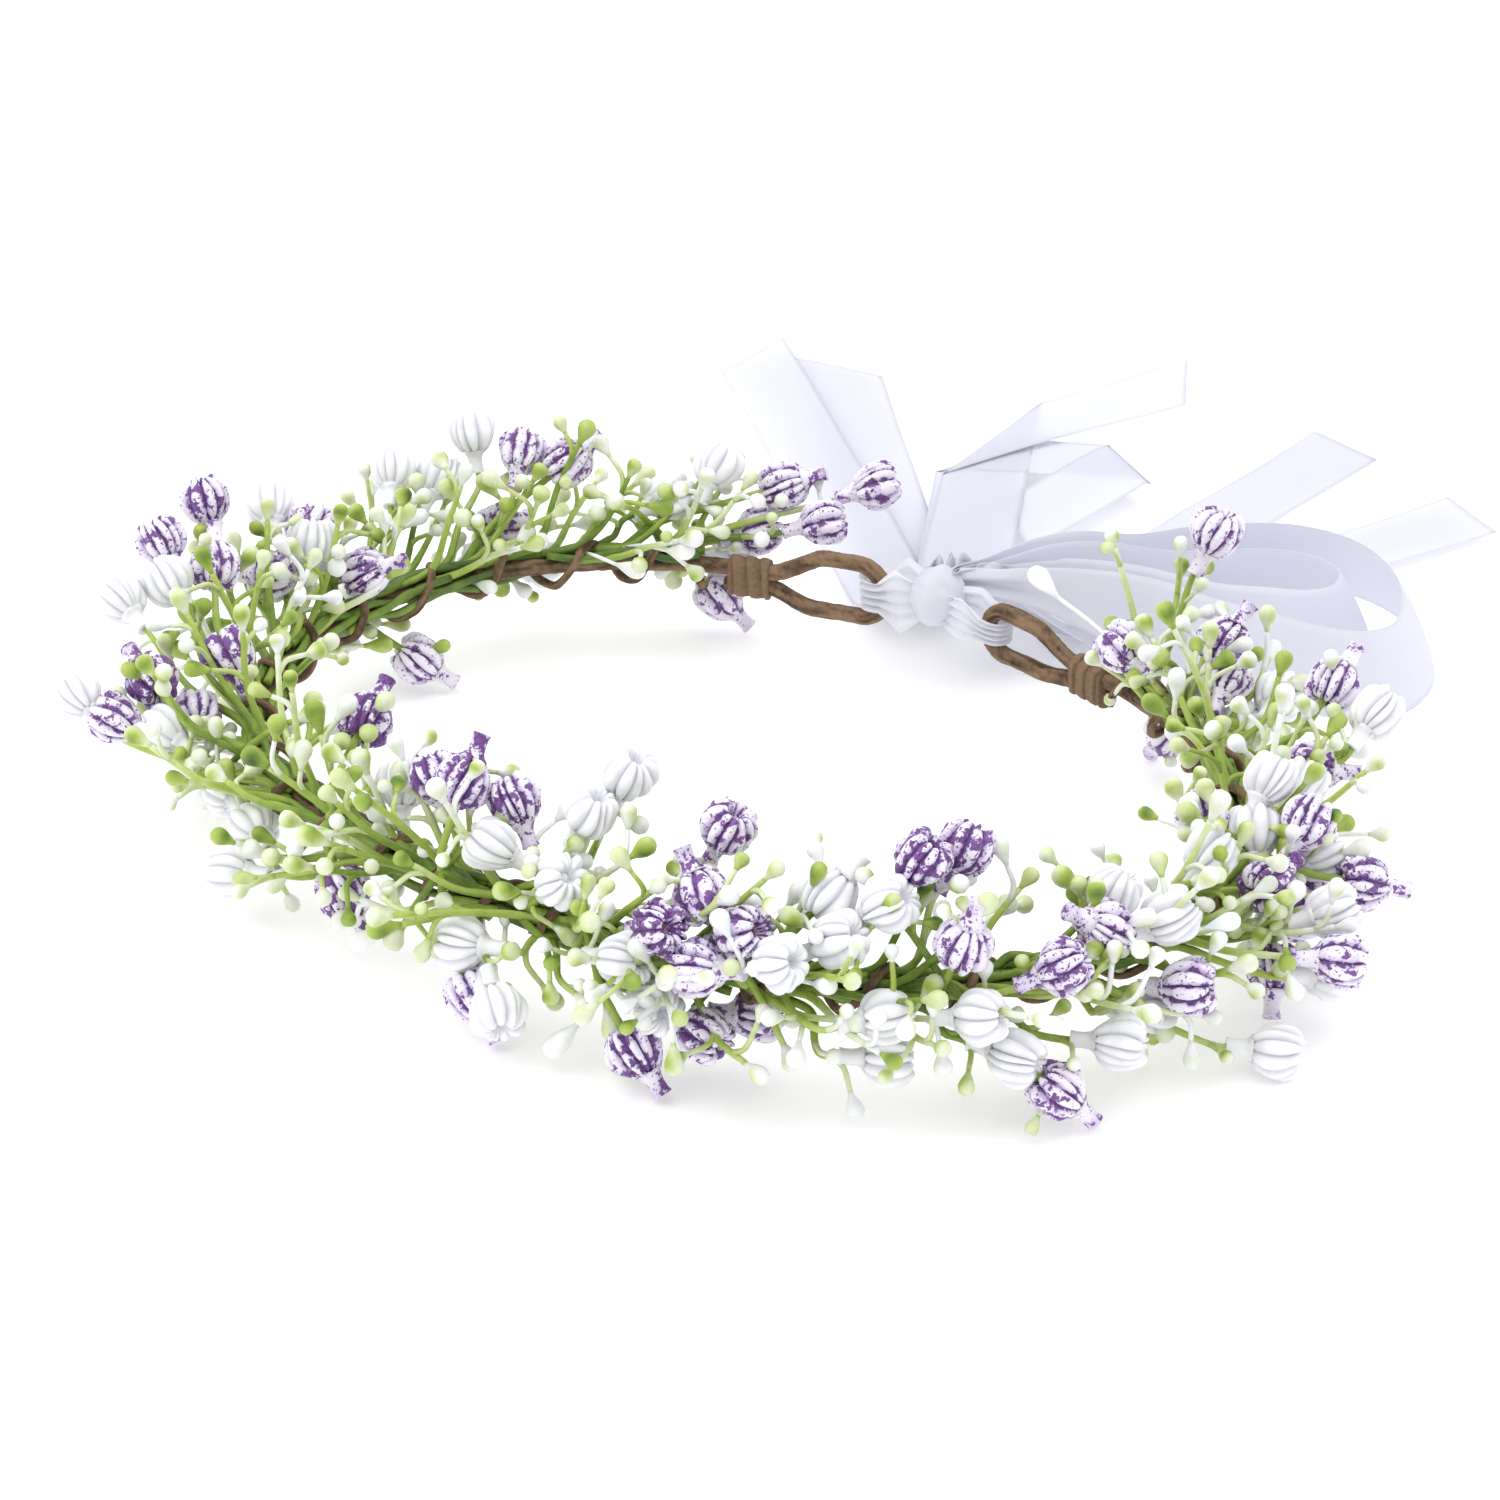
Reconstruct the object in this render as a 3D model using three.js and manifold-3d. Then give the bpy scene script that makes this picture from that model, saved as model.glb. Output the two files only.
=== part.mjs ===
// A flower crown: a hoop of paper-covered wire with an eyelet at each end, moulded gypsophila sprays bound
// round it with a finer covered wire, push-on flower heads, two pearl stamens, and a ribbon bow that ties
// the two eyelets together. Millimetres, +Z up. The origin is the middle of the hoop, on the table under
// it; the bow is at +Y and the front of the crown at -Y.
import * as THREE from "three";
import { mergeVertices } from "three/addons/utils/BufferGeometryUtils.js";
import Module from "manifold-3d";

const wasm = await Module();
wasm.setup();

// ---- driving dimensions ----
const GAP = 0.3; // between pieces that touch
const HOOP_R = 90; // mean radius of the wire's centre line: a 56 to 58 cm head
const HOOP_OVAL = 14; // the hoop is this much longer than round along X, and shorter along Y
const HOOP_SKEW = -2.6;
const HOOP_FLAT = -3; // the bow's side is drawn in
const HOOP_CORNERS = -1.8;
const HOOP_Z = 22; // the flowers hold the wire this far above the table
const HOOP_START = 118; // where the hoop's wire leaves the left eyelet, degrees from +X
const HOOP_END = 360 + 62; // and where it meets the right one
const CORE_R = 0.9; // bare steel wire
const PAPER_WALL = 0.6;
const BINDING_R = 0.8; // the finer wire wound round stems and hoop
const TURNS_PER_SPRAY = 2;
const WRAP_LENGTH = 11; // sleeve over each tucked wire end
const WRAP_WALL = 0.7;
const EYELET_LEFT = { length: 26, height: 12.5 }; // along and across the centre line
const EYELET_RIGHT = { length: 23, height: 10 };
const KNOT_OUT = 0.7; // the knot's middle, from the hoop's line
const KNOT_UP = 3;
const KNOT_SIZE = new THREE.Vector3(12, 12, 12); // round about X, which the ribbon turns on
const RIBBON_WIDTH = 20;
const RIBBON_T = 0.5;
const RIBBON_STACK = 0.5; // air between the tails, one over another
const GATHERED = 5; // the ribbon's width where it enters the knot
const LANDING = 44; // from the fan of the tails to where one meets the table
const LOOP_ROOT_UP = 3; // the loops leave the knot this far above its middle
const FOLD_DROP = 0.15; // a folded tail's next leg lies this much of a level lower
const SPRAYS = 14;
const STEM_R = 0.9;
const TWIG_R = 0.8;
const FORK_OUT = 8.5; // from the wire's centre to where a spray forks
const BUD_R = 2.1;
const FLOWER_R = 5.4; // globe of petals
const NECK_R = 1.75;
const NECK_LENGTH = 4.6;
const SOCKET_R = 1.25; // blind hole in the neck, pushed over a twig
const STAMEN_R = 2.2;
const STAMEN_LENGTH = 9;

// An eyelet's two sides before its round end, as [share of its length, share of its half height].
const UPPER_SIDE = [[0.3, 0.75], [0.45, 0.97]];
const LOWER_SIDE = [[0.45, -0.97], [0.25, -0.9]];
const EYELET_DROP = 0.2; // it sits this share of its half height below the hoop's line

// ---- colours ----
function finish(color, roughness, metalness = 0) {
  return new THREE.MeshStandardMaterial({ color, roughness, metalness });
}
const STEEL = finish(0x8d8f92, 0.4, 1);
const BROWN_PAPER = finish(0x5b4230, 0.9);
const GREEN_PLASTIC = finish(0x8fae45, 0.45);
const PURPLE_PLASTIC = finish(0x8a6fae, 0.5);
const WHITE_PLASTIC = finish(0xf2f3f5, 0.4);
const WHITE_RIBBON = finish(0xeeeef8, 0.5);

// ---- flowers: [degrees round the hoop, mm from its wire to the globe, turn round the wire, colour] ----
// Two to a spray. Turn 0 is straight out from the hoop and 90 straight up; a word instead of a turn puts
// the flower on the table, outside the hoop or inside it.
const P = PURPLE_PLASTIC;
const W = WHITE_PLASTIC;
const FLOWERS = [
  [[115, 17.5, 41, P], [124, 6.5, "outside", P]],
  [[142, 19.5, 61, P], [149, 13, 9, P]],
  [[174, 8, 117, P], [167, 1.5, "inside", P]],
  [[188, 23, 51, P], [180, 12.5, 43, P]],
  [[206, 22, 28, P], [205, 9, 12, P]],
  [[226, 20.5, 126, P], [244, 8, -54, P]],
  [[257, 21, 99, P], [269, 8.5, "outside", P]],
  [[299, 10, 32, P], [291, 8.5, "outside", P]],
  [[295, 15.5, 85, P], [313, 17, 98, W]],
  [[323, 17.5, 61, P], [331, 14.5, "outside", P]],
  [[335, 11.5, 62, P], [0, 10.5, 27, P]],
  [[356, 16.5, -39, P], [9, 25.5, -4, P]],
  [[23, 17, 13, P], [33, 28.5, 32, P]],
  [[47, 19.5, 37, P], [54, 6.5, "outside", P]],
];
// On each spray: degrees ahead of its stem, mm out from the hoop, mm above it.
const BUDS = [[-3, -4, 16], [6, 12, -9]];
// Root degrees, then degrees, mm out and mm above the hoop.
const STAMENS = [[288, 280, 14, -15], [50, 70, 2, 14]];

// ---- the hoop's line ----
const rad = THREE.MathUtils.degToRad;
const UP = new THREE.Vector3(0, 0, 1);
const PAPER_R = CORE_R + GAP + PAPER_WALL;
const LAY_R = PAPER_R + GAP + STEM_R; // stems lie against the paper at this radius

function hoopRadius(deg) {
  const a = rad(deg);
  const waves = HOOP_FLAT * Math.sin(a) + HOOP_SKEW * Math.sin(2 * a) + HOOP_CORNERS * Math.sin(3 * a);
  return HOOP_R + HOOP_OVAL * Math.cos(2 * a) + waves;
}

// A place given by its angle, its distance out from the hoop and its height over it.
function place(deg, out = 0, up = 0) {
  const r = hoopRadius(deg) + out;
  return new THREE.Vector3(r * Math.cos(rad(deg)), r * Math.sin(rad(deg)), HOOP_Z + up);
}

const along = (deg) => place(deg + 0.5).sub(place(deg - 0.5)).normalize();

// A place at a radius round the wire itself: turn 0 faces out, 90 faces up.
function round(deg, radius, turn) {
  const outward = along(deg).cross(UP);
  const over = radius * Math.sin(rad(turn));
  return place(deg).addScaledVector(outward, radius * Math.cos(rad(turn))).addScaledVector(UP, over);
}

const degreesFor = (mm, deg) => THREE.MathUtils.radToDeg(mm / hoopRadius(deg));
const KNOT = place(90, KNOT_OUT, KNOT_UP);

// ---- shapes ----
class Route extends THREE.Curve {
  constructor(points) {
    super();
    this.points = points;
  }
  getPointAt(u, target = new THREE.Vector3()) {
    return target.copy(this.points[Math.round(u * (this.points.length - 1))]);
  }
  getTangentAt(u, target = new THREE.Vector3()) {
    const last = this.points.length - 1;
    const i = Math.round(u * last);
    const before = this.points[Math.max(i - 1, 0)];
    const after = this.points[Math.min(i + 1, last)];
    return target.subVectors(after, before).normalize();
  }
}

function polygon(radius, sides) {
  const corner = (_, i) => {
    const a = (2 * Math.PI * i) / sides;
    return new THREE.Vector2(radius * Math.cos(a), radius * Math.sin(a));
  };
  return Array.from({ length: sides }, corner);
}

function tube(points, radius, sides, bore = 0) {
  const section = new THREE.Shape(polygon(radius, sides));
  if (bore) section.holes.push(new THREE.Path(polygon(bore, sides)));
  return new THREE.ExtrudeGeometry(section, { steps: points.length - 1, extrudePath: new Route(points) });
}

function solid(geometry) {
  const bare = geometry.clone();
  bare.deleteAttribute("normal");
  bare.deleteAttribute("uv");
  const merged = mergeVertices(bare, 1e-4);
  const vertProperties = merged.attributes.position.array;
  const triVerts = new Uint32Array(merged.index.array);
  return new wasm.Manifold(new wasm.Mesh({ numProp: 3, vertProperties, triVerts }));
}

function joined(geometries) {
  const whole = geometries.map(solid).reduce((a, b) => a.add(b));
  const mesh = whole.getMesh();
  const geometry = new THREE.BufferGeometry();
  geometry.setAttribute("position", new THREE.BufferAttribute(new Float32Array(mesh.vertProperties), 3));
  geometry.setIndex(Array.from(mesh.triVerts));
  geometry.computeVertexNormals();
  return geometry;
}

// A flat strip through stations of { at, across }, where across is half its width as a vector.
function strip(stations, normal) {
  const corners = [];
  stations.forEach(({ at, across }, i) => {
    const before = stations[Math.max(i - 1, 0)].at;
    const after = stations[Math.min(i + 1, stations.length - 1)].at;
    const face = (normal ?? after.clone().sub(before).cross(across)).clone().setLength(RIBBON_T / 2);
    for (const [side, skin] of [[-1, -1], [1, -1], [1, 1], [-1, 1]])
      corners.push(at.clone().addScaledVector(across, side).addScaledVector(face, skin));
  });
  const faces = [];
  const quad = (a, b, c, d) => faces.push(a, b, c, a, c, d);
  for (let i = 0; i < stations.length - 1; i++)
    for (let k = 0; k < 4; k++) {
      const next = (k + 1) % 4;
      quad(4 * i + k, 4 * i + next, 4 * i + 4 + next, 4 * i + 4 + k);
    }
  const last = 4 * (stations.length - 1);
  quad(3, 2, 1, 0);
  quad(last, last + 1, last + 2, last + 3);
  const geometry = new THREE.BufferGeometry().setFromPoints(corners);
  geometry.setIndex(faces);
  geometry.computeVertexNormals();
  return geometry;
}

const crown = new THREE.Group();

function piece(name, geometry, material) {
  const mesh = new THREE.Mesh(geometry, material);
  mesh.name = name;
  crown.add(mesh);
  return mesh;
}

const pad = (n) => String(n).padStart(2, "0");

// ---- the wire: tucked end, left eyelet, hoop, right eyelet, tucked end ----
const TUCK = 2 * PAPER_R + GAP; // between the centre lines of the hoop and its tucked end

// An eyelet points from the hoop's end towards the knot, standing on edge.
function eyelet(deg, { length, height }) {
  const base = place(deg);
  const ahead = KNOT.clone().sub(base).normalize();
  const rise = UP.clone().addScaledVector(ahead, -UP.dot(ahead)).normalize();
  const half = height / 2;
  const middle = base.clone().addScaledVector(rise, -half * EYELET_DROP);
  const spot = (t, h) => middle.clone().addScaledVector(ahead, t).addScaledVector(rise, h);
  const bend = [];
  for (let a = 90; a >= -90; a -= 30)
    bend.push(spot(length - half + half * Math.cos(rad(a)), half * Math.sin(rad(a))));
  const side = (shares) => shares.map(([t, h]) => spot(length * t, half * h));
  const points = [...side(UPPER_SIDE), ...bend, ...side(LOWER_SIDE)];
  return { ahead, rise, half, tip: spot(length, 0), points };
}

// The wire's end runs back under the hoop, inside the wrap.
function tucked(deg, direction) {
  const back = (mm) => {
    const there = deg + direction * degreesFor(mm, deg);
    return place(there, 0, -TUCK);
  };
  return [back(0.5), back(WRAP_LENGTH / 2), back(WRAP_LENGTH)];
}

const left = eyelet(HOOP_START, EYELET_LEFT);
const right = eyelet(HOOP_END, EYELET_RIGHT);
const hoopLine = [];
const HOOP_STEPS = 50;
for (let i = 0; i <= HOOP_STEPS; i++)
  hoopLine.push(place(HOOP_START + ((HOOP_END - HOOP_START) * i) / HOOP_STEPS));
const wireLine = [
  ...tucked(HOOP_START, 1).reverse(),
  ...left.points.slice().reverse(),
  ...hoopLine,
  ...right.points,
  ...tucked(HOOP_END, -1),
];
piece("wire_core", tube(wireLine, CORE_R, 6), STEEL);
piece("paper_covering", tube(wireLine, PAPER_R, 6, CORE_R + GAP), BROWN_PAPER);

// ---- a paper wrap over the hoop and its tucked end, beside each eyelet ----
const SLEEVE = WRAP_LENGTH - 2;

function wrap(name, deg, direction) {
  const slack = 2 * GAP; // the hoop curves a little inside the straight sleeve
  const outline = (r) => {
    const path = new THREE.Path();
    path.absarc(0, 0, r, 0, Math.PI, false);
    path.absarc(0, -TUCK, r, Math.PI, 2 * Math.PI, false);
    path.closePath();
    return path;
  };
  const inner = PAPER_R + slack;
  const section = new THREE.Shape(outline(inner + WRAP_WALL).getPoints(5));
  section.holes.push(new THREE.Path(outline(inner).getPoints(5)));
  const middle = deg + direction * degreesFor(WRAP_LENGTH / 2 + 1, deg);
  const sleeve = new THREE.ExtrudeGeometry(section, { depth: SLEEVE, bevelEnabled: false });
  sleeve.translate(0, 0, -SLEEVE / 2);
  const heading = along(middle);
  const basis = new THREE.Matrix4().makeBasis(heading.clone().cross(UP).negate(), UP, heading);
  const mesh = piece(name, sleeve, BROWN_PAPER);
  mesh.applyMatrix4(basis.setPosition(place(middle)));
}
wrap("eyelet_wrap_left", HOOP_START, 1);
wrap("eyelet_wrap_right", HOOP_END, -1);

// ---- the binding wire winds from one wrap to the other, twice for each spray ----
const SPRAYS_START = HOOP_START + degreesFor(WRAP_LENGTH + 3, HOOP_START);
const SPRAYS_END = HOOP_END - degreesFor(WRAP_LENGTH + 3, HOOP_END);
const SPRAY_PITCH = (SPRAYS_END - SPRAYS_START) / SPRAYS;
const EXIT_TURN = 45; // stems leave the hoop upwards and outwards
const BINDING_STEPS = 8; // to each turn
const bindingRadius = (LAY_R + STEM_R + GAP + BINDING_R) / Math.cos(Math.PI / BINDING_STEPS);
const sprayDegrees = (k) => SPRAYS_START + SPRAY_PITCH * (k + 0.5);
const degreesPerTurn = SPRAY_PITCH / TURNS_PER_SPRAY;
// Opposite each spray's exit the binding is at its far side.
const bindingTurn = (deg) => EXIT_TURN + 180 + (360 * (deg - sprayDegrees(0))) / degreesPerTurn;
const bindingLine = [];
const bindingSteps = BINDING_STEPS * TURNS_PER_SPRAY * SPRAYS;
for (let i = 0; i <= bindingSteps; i++) {
  const deg = SPRAYS_START + ((SPRAYS_END - SPRAYS_START) * i) / bindingSteps;
  bindingLine.push(round(deg, bindingRadius, bindingTurn(deg)));
}
piece("binding_wire", tube(bindingLine, BINDING_R, 4), BROWN_PAPER);

// ---- flower heads: a globe on a hollow neck, its axis +Z away from the stem ----
const GLOBE_TO_MOUTH = 0.85 * FLOWER_R + NECK_LENGTH;
const SOCKET_END = 0.8 * FLOWER_R;

function flowerProfile() {
  const r = FLOWER_R;
  const points = [
    [0, -SOCKET_END],
    [SOCKET_R, -SOCKET_END],
    [SOCKET_R, -GLOBE_TO_MOUTH],
    [NECK_R, -GLOBE_TO_MOUTH],
    [NECK_R, -0.92 * r],
    [0.9 * r, -0.45 * r],
    [r, 0.15 * r],
    [0.7 * r, 0.72 * r],
    [0.3 * r, 0.9 * r],
    [0, 0.5 * r],
  ];
  return points.map(([x, y]) => new THREE.Vector2(x, y));
}

function flower(name, centre, axis, material) {
  const globe = new THREE.LatheGeometry(flowerProfile(), 8).rotateX(Math.PI / 2);
  const mesh = piece(name, globe, material);
  mesh.quaternion.setFromUnitVectors(UP, axis);
  mesh.position.copy(centre);
}

// ---- sprays ----
// The stem lies under the binding, rises through it and ends at a fork.
function stemLine(deg, lean) {
  const line = [[-8, LAY_R], [-5, LAY_R], [-2.5, LAY_R + GAP], [0, bindingRadius], [3, FORK_OUT]];
  return line.map(([mm, radius]) => round(deg + lean * degreesFor(mm, deg), radius, EXIT_TURN));
}

function flowerCentre(deg, clear, turn) {
  const reach = clear + FLOWER_R;
  if (turn === "outside") return place(deg, reach, FLOWER_R - HOOP_Z);
  if (turn === "inside") return place(deg, -reach, FLOWER_R - HOOP_Z);
  return place(deg, reach * Math.cos(rad(turn)), reach * Math.sin(rad(turn)));
}

// A twig bows outwards on its way from the fork, so a flower's axis is its last direction.
function twig(fork, centre) {
  const length = fork.distanceTo(centre);
  const beforeNeck = Math.max(length / 2, GLOBE_TO_MOUTH + 2 * GAP);
  const middle = centre.clone().lerp(fork, Math.min(beforeNeck / length, 0.9));
  const outward = middle.clone().setZ(0).normalize();
  const bow = length * 0.1;
  middle.addScaledVector(outward, bow).addScaledVector(UP, -bow / 2);
  return { middle, axis: centre.clone().sub(middle).normalize() };
}

function bud(centre) {
  return new THREE.IcosahedronGeometry(BUD_R, 0).translate(centre.x, centre.y, centre.z);
}

for (let k = 0; k < SPRAYS; k++) {
  const deg = sprayDegrees(k);
  const lean = k < SPRAYS / 2 ? -1 : 1; // each half points to its own eyelet
  const stem = stemLine(deg, lean);
  const fork = stem[stem.length - 1];
  const solids = [tube(stem, STEM_R, 5)];
  FLOWERS[k].forEach(([flowerDeg, clear, turn, material], i) => {
    const centre = flowerCentre(flowerDeg, clear, turn);
    const { middle, axis } = twig(fork, centre);
    const end = centre.clone().addScaledVector(axis, -SOCKET_END - 2 * GAP);
    solids.push(tube([fork, middle, end], TWIG_R, 4));
    flower("flower_" + pad(2 * k + i + 1), centre, axis, material);
  });
  for (const [ahead, out, up] of BUDS) {
    const centre = place(deg + lean * ahead, out, up);
    solids.push(tube([fork, centre], TWIG_R, 4), bud(centre));
  }
  piece("spray_" + pad(k + 1), joined(solids), GREEN_PLASTIC);
}

// ---- pearl stamens: a drop on a thread caught under the binding ----
function stamen(name, [rootDeg, deg, out, up]) {
  const centre = place(deg, out, up);
  const profile = [[0, -0.5], [0.55, -0.3], [1, 0.15], [0.7, 0.4], [0, 0.5]];
  const outline = profile.map(([x, y]) => new THREE.Vector2(x * STAMEN_R, y * STAMEN_LENGTH));
  const drop = new THREE.LatheGeometry(outline, 8).rotateX(Math.PI / 2);
  const start = round(rootDeg, LAY_R, up < 0 ? -45 : 45);
  const axis = centre.clone().sub(start).normalize();
  drop.applyQuaternion(new THREE.Quaternion().setFromUnitVectors(UP, axis)).translate(...centre.toArray());
  piece(name, joined([tube([start, centre], TWIG_R, 4), drop]), WHITE_PLASTIC);
}
STAMENS.forEach((spot, i) => stamen("stamen_" + (i + 1), spot));

// ---- ribbon ----
const knot = new THREE.SphereGeometry(0.5, 12, 8).rotateZ(Math.PI / 2);
piece("ribbon_knot", knot.scale(...KNOT_SIZE.toArray()), WHITE_RIBBON).position.copy(KNOT);

// A hitch passes through its eyelet and back to the knot.
function hitch(name, { ahead, rise, half, tip }) {
  const side = ahead.clone().cross(rise);
  const offset = PAPER_R + GAP + RIBBON_T / 2;
  const halfWidth = (half - PAPER_R) * 0.6;
  const inside = half - Math.sqrt((half - PAPER_R) ** 2 - halfWidth ** 2) + GAP + RIBBON_T;
  const toKnot = tip.distanceTo(KNOT) - KNOT_SIZE.x / 2 - GAP;
  const spot = (t, s) => tip.clone().addScaledVector(ahead, t).addScaledVector(side, s);
  const line = [spot(toKnot, offset)];
  for (let a = 90; a <= 270; a += 30)
    line.push(spot(offset - inside + offset * Math.cos(rad(a)), offset * Math.sin(rad(a))));
  line.push(spot(toKnot, -offset));
  const across = rise.clone().multiplyScalar(halfWidth);
  piece(name, strip(line.map((at) => ({ at, across }))), WHITE_RIBBON);
}
hitch("ribbon_hitch_left", left);
hitch("ribbon_hitch_right", right);

const smooth = THREE.MathUtils.smoothstep;
const mix = THREE.MathUtils.lerp;
const FAN = KNOT.clone().add(new THREE.Vector3(0, 3, -3)); // the tails spread from here, behind the knot
const FAN_R = 6.5;
const FALL_STEPS = 12;
const LEVEL = RIBBON_T + RIBBON_STACK;

function onFan(r, deg) {
  return new THREE.Vector3(r * Math.cos(rad(deg)), r * Math.sin(rad(deg)), 0).add(FAN);
}

// Tails fall from the knot to the table and lie one over another: each is a level and its corners, as
// [distance from the fan, degrees].
const TAILS = [
  { level: 3, corners: [[182, 135]] },
  { level: 1, corners: [[175, 128.5]] },
  { level: 5.9, corners: [[121, 114.5], [165, 99]] },
  { level: 4.8, corners: [[113, 115.5], [117, 98], [74, 107]] },
  { level: 0, corners: [[164, 84]] },
  { level: 2, corners: [[152, 66.5]] },
];

// A flat strip between two places in plan, laid at the height that every tail shares, plus its own level.
function laid(from, to, steps, level, widthAt) {
  const across = UP.clone().cross(to.clone().sub(from).setZ(0)).setLength(0.5);
  const stations = [];
  for (let s = 0; s <= steps; s++) {
    const at = from.clone().lerp(to, s / steps);
    stations.push({ at, across: across.clone().multiplyScalar(widthAt(at.distanceTo(FAN))) });
  }
  const geometry = strip(stations, UP);
  const corners = geometry.attributes.position;
  for (let i = 0; i < corners.count; i++) {
    const away = Math.hypot(corners.getX(i) - FAN.x, corners.getY(i) - FAN.y);
    const fallen = mix(FAN.z, 0, smooth(away, FAN_R, LANDING));
    corners.setZ(i, fallen + level * LEVEL + (i % 4 > 1 ? RIBBON_T : 0));
  }
  return geometry;
}

TAILS.forEach(({ level, corners }, i) => {
  const spots = corners.map(([r, deg]) => onFan(r, deg));
  const leaving = onFan(FAN_R, corners[0][1]);
  const landed = onFan(LANDING, corners[0][1]);
  const gathered = (away) => mix(GATHERED, RIBBON_WIDTH, smooth(away, FAN_R, LANDING));
  const full = () => RIBBON_WIDTH;
  const legs = [laid(leaving, landed, FALL_STEPS, level, gathered), laid(landed, spots[0], 1, level, full)];
  for (let s = 1; s < spots.length; s++)
    legs.push(laid(spots[s - 1], spots[s], 1, level - FOLD_DROP * s, full));
  piece("ribbon_tail_" + (i + 1), joined(legs), WHITE_RIBBON);
});

// Loops stand on edge over the tails. Each leaves the knot at its first root angle, follows its outline,
// in plan from the knot, and comes back at its second.
const LOOPS = [
  {
    name: "ribbon_loop_large",
    roots: [82, 43],
    outline: [[4, 13], [8, 30], [13, 49], [23, 67], [42, 81], [60, 82], [75, 73], [85, 59], [88, 45],
      [83, 36], [72, 33], [56, 33], [38, 29], [22, 18], [11, 8]],
  },
  {
    name: "ribbon_loop_small",
    roots: [70, 56],
    outline: [[7, 13], [14, 32], [26, 52], [42, 66], [56, 70], [67, 65], [70, 55], [65, 47], [53, 42],
      [34, 33], [20, 23], [10, 12]],
  },
];
const LOOP_Z = 2 * LEVEL + RIBBON_T + GAP + RIBBON_WIDTH / 2;
const LOOP_ROOT_Z = KNOT.z + LOOP_ROOT_UP;
const WIDE_FROM = 1.15 * LANDING; // a loop has its full width from here,
const LOW_FROM = 1.5 * LANDING; // and stands on the tails from here

function knotFace(deg) {
  const x = (KNOT_SIZE.x / 2 + 2 * GAP) * Math.cos(rad(deg));
  const y = (KNOT_SIZE.y / 2 + 2 * GAP) * Math.sin(rad(deg));
  return [x, y];
}

for (const { name, roots, outline } of LOOPS) {
  const plan = [knotFace(roots[0]), ...outline, knotFace(roots[1])];
  const stations = plan.map(([x, y]) => {
    const away = Math.hypot(x, y);
    const width = mix(GATHERED, RIBBON_WIDTH, smooth(away, KNOT_SIZE.x / 2, WIDE_FROM));
    const z = mix(LOOP_ROOT_Z, LOOP_Z, smooth(away, KNOT_SIZE.x / 2, LOW_FROM));
    const at = new THREE.Vector3(KNOT.x + x, KNOT.y + y, z);
    return { at, across: UP.clone().multiplyScalar(width / 2) };
  });
  piece(name, strip(stations), WHITE_RIBBON);
}

export default crown;
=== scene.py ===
import math
import random

import bmesh
import bpy
import numpy as np
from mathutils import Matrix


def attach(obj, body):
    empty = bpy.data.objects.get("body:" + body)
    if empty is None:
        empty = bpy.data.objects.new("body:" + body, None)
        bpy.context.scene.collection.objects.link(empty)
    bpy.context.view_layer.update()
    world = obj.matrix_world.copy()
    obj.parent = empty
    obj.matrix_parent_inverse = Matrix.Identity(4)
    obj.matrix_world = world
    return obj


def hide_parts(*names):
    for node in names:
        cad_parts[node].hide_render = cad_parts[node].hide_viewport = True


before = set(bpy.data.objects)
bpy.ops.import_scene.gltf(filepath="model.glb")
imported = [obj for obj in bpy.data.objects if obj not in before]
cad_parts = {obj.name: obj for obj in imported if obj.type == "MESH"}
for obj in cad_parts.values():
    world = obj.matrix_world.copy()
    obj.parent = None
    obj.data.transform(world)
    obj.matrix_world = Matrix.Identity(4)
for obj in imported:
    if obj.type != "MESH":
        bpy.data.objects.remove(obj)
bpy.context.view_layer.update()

MM = 0.001
UP = np.array([0.0, 0.0, 1.0])
EAST = np.array([1.0, 0.0, 0.0])

# ---- the hoop's sizes, as in the part ----
GAP = 0.3
HOOP_R, HOOP_OVAL, HOOP_SKEW, HOOP_FLAT, HOOP_CORNERS = 90, 14, -2.6, -3, -1.8
HOOP_Z = 22
HOOP_START, HOOP_END = 118, 422
PAPER_R = 1.8
BINDING_R = 0.8
LAY_R = 3.0
WRAP_LENGTH = 11
TUCK = 2 * PAPER_R + GAP
EYELETS = {"left": (HOOP_START, 26, 12.5), "right": (HOOP_END, 23, 10)}
EYELET_UPPER = [(0.3, 0.75), (0.45, 0.97)]
EYELET_LOWER = [(0.45, -0.97), (0.25, -0.9)]
EYELET_DROP = 0.2
SPRAYS = 14
TURNS_PER_SPRAY = 2
EXIT_TURN = 45
FORK_OUT = 8.5
STEM_R = 0.9
BUD_R = 2.1
BUD_PLACES = [(-3, -4, 16), (6, 12, -9)]
FLOWER_R = 5.4
GLOBE_TO_MOUTH = 0.85 * FLOWER_R + 4.6
WHITE_FLOWER = 18
# Stamens: degrees of the thread's root, then degrees, mm out and mm up of the pearl.
STAMENS = [(288, 280, 14, -15), (50, 70, 2, 14)]
STAMEN_R, STAMEN_LENGTH = 2.2, 9
RIBBON_WIDTH = 20
RIBBON_T = 0.5
RIBBON_LEVEL = 1.0
GATHERED = 5
LANDING = 44
FAN_R = 6.5

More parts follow.
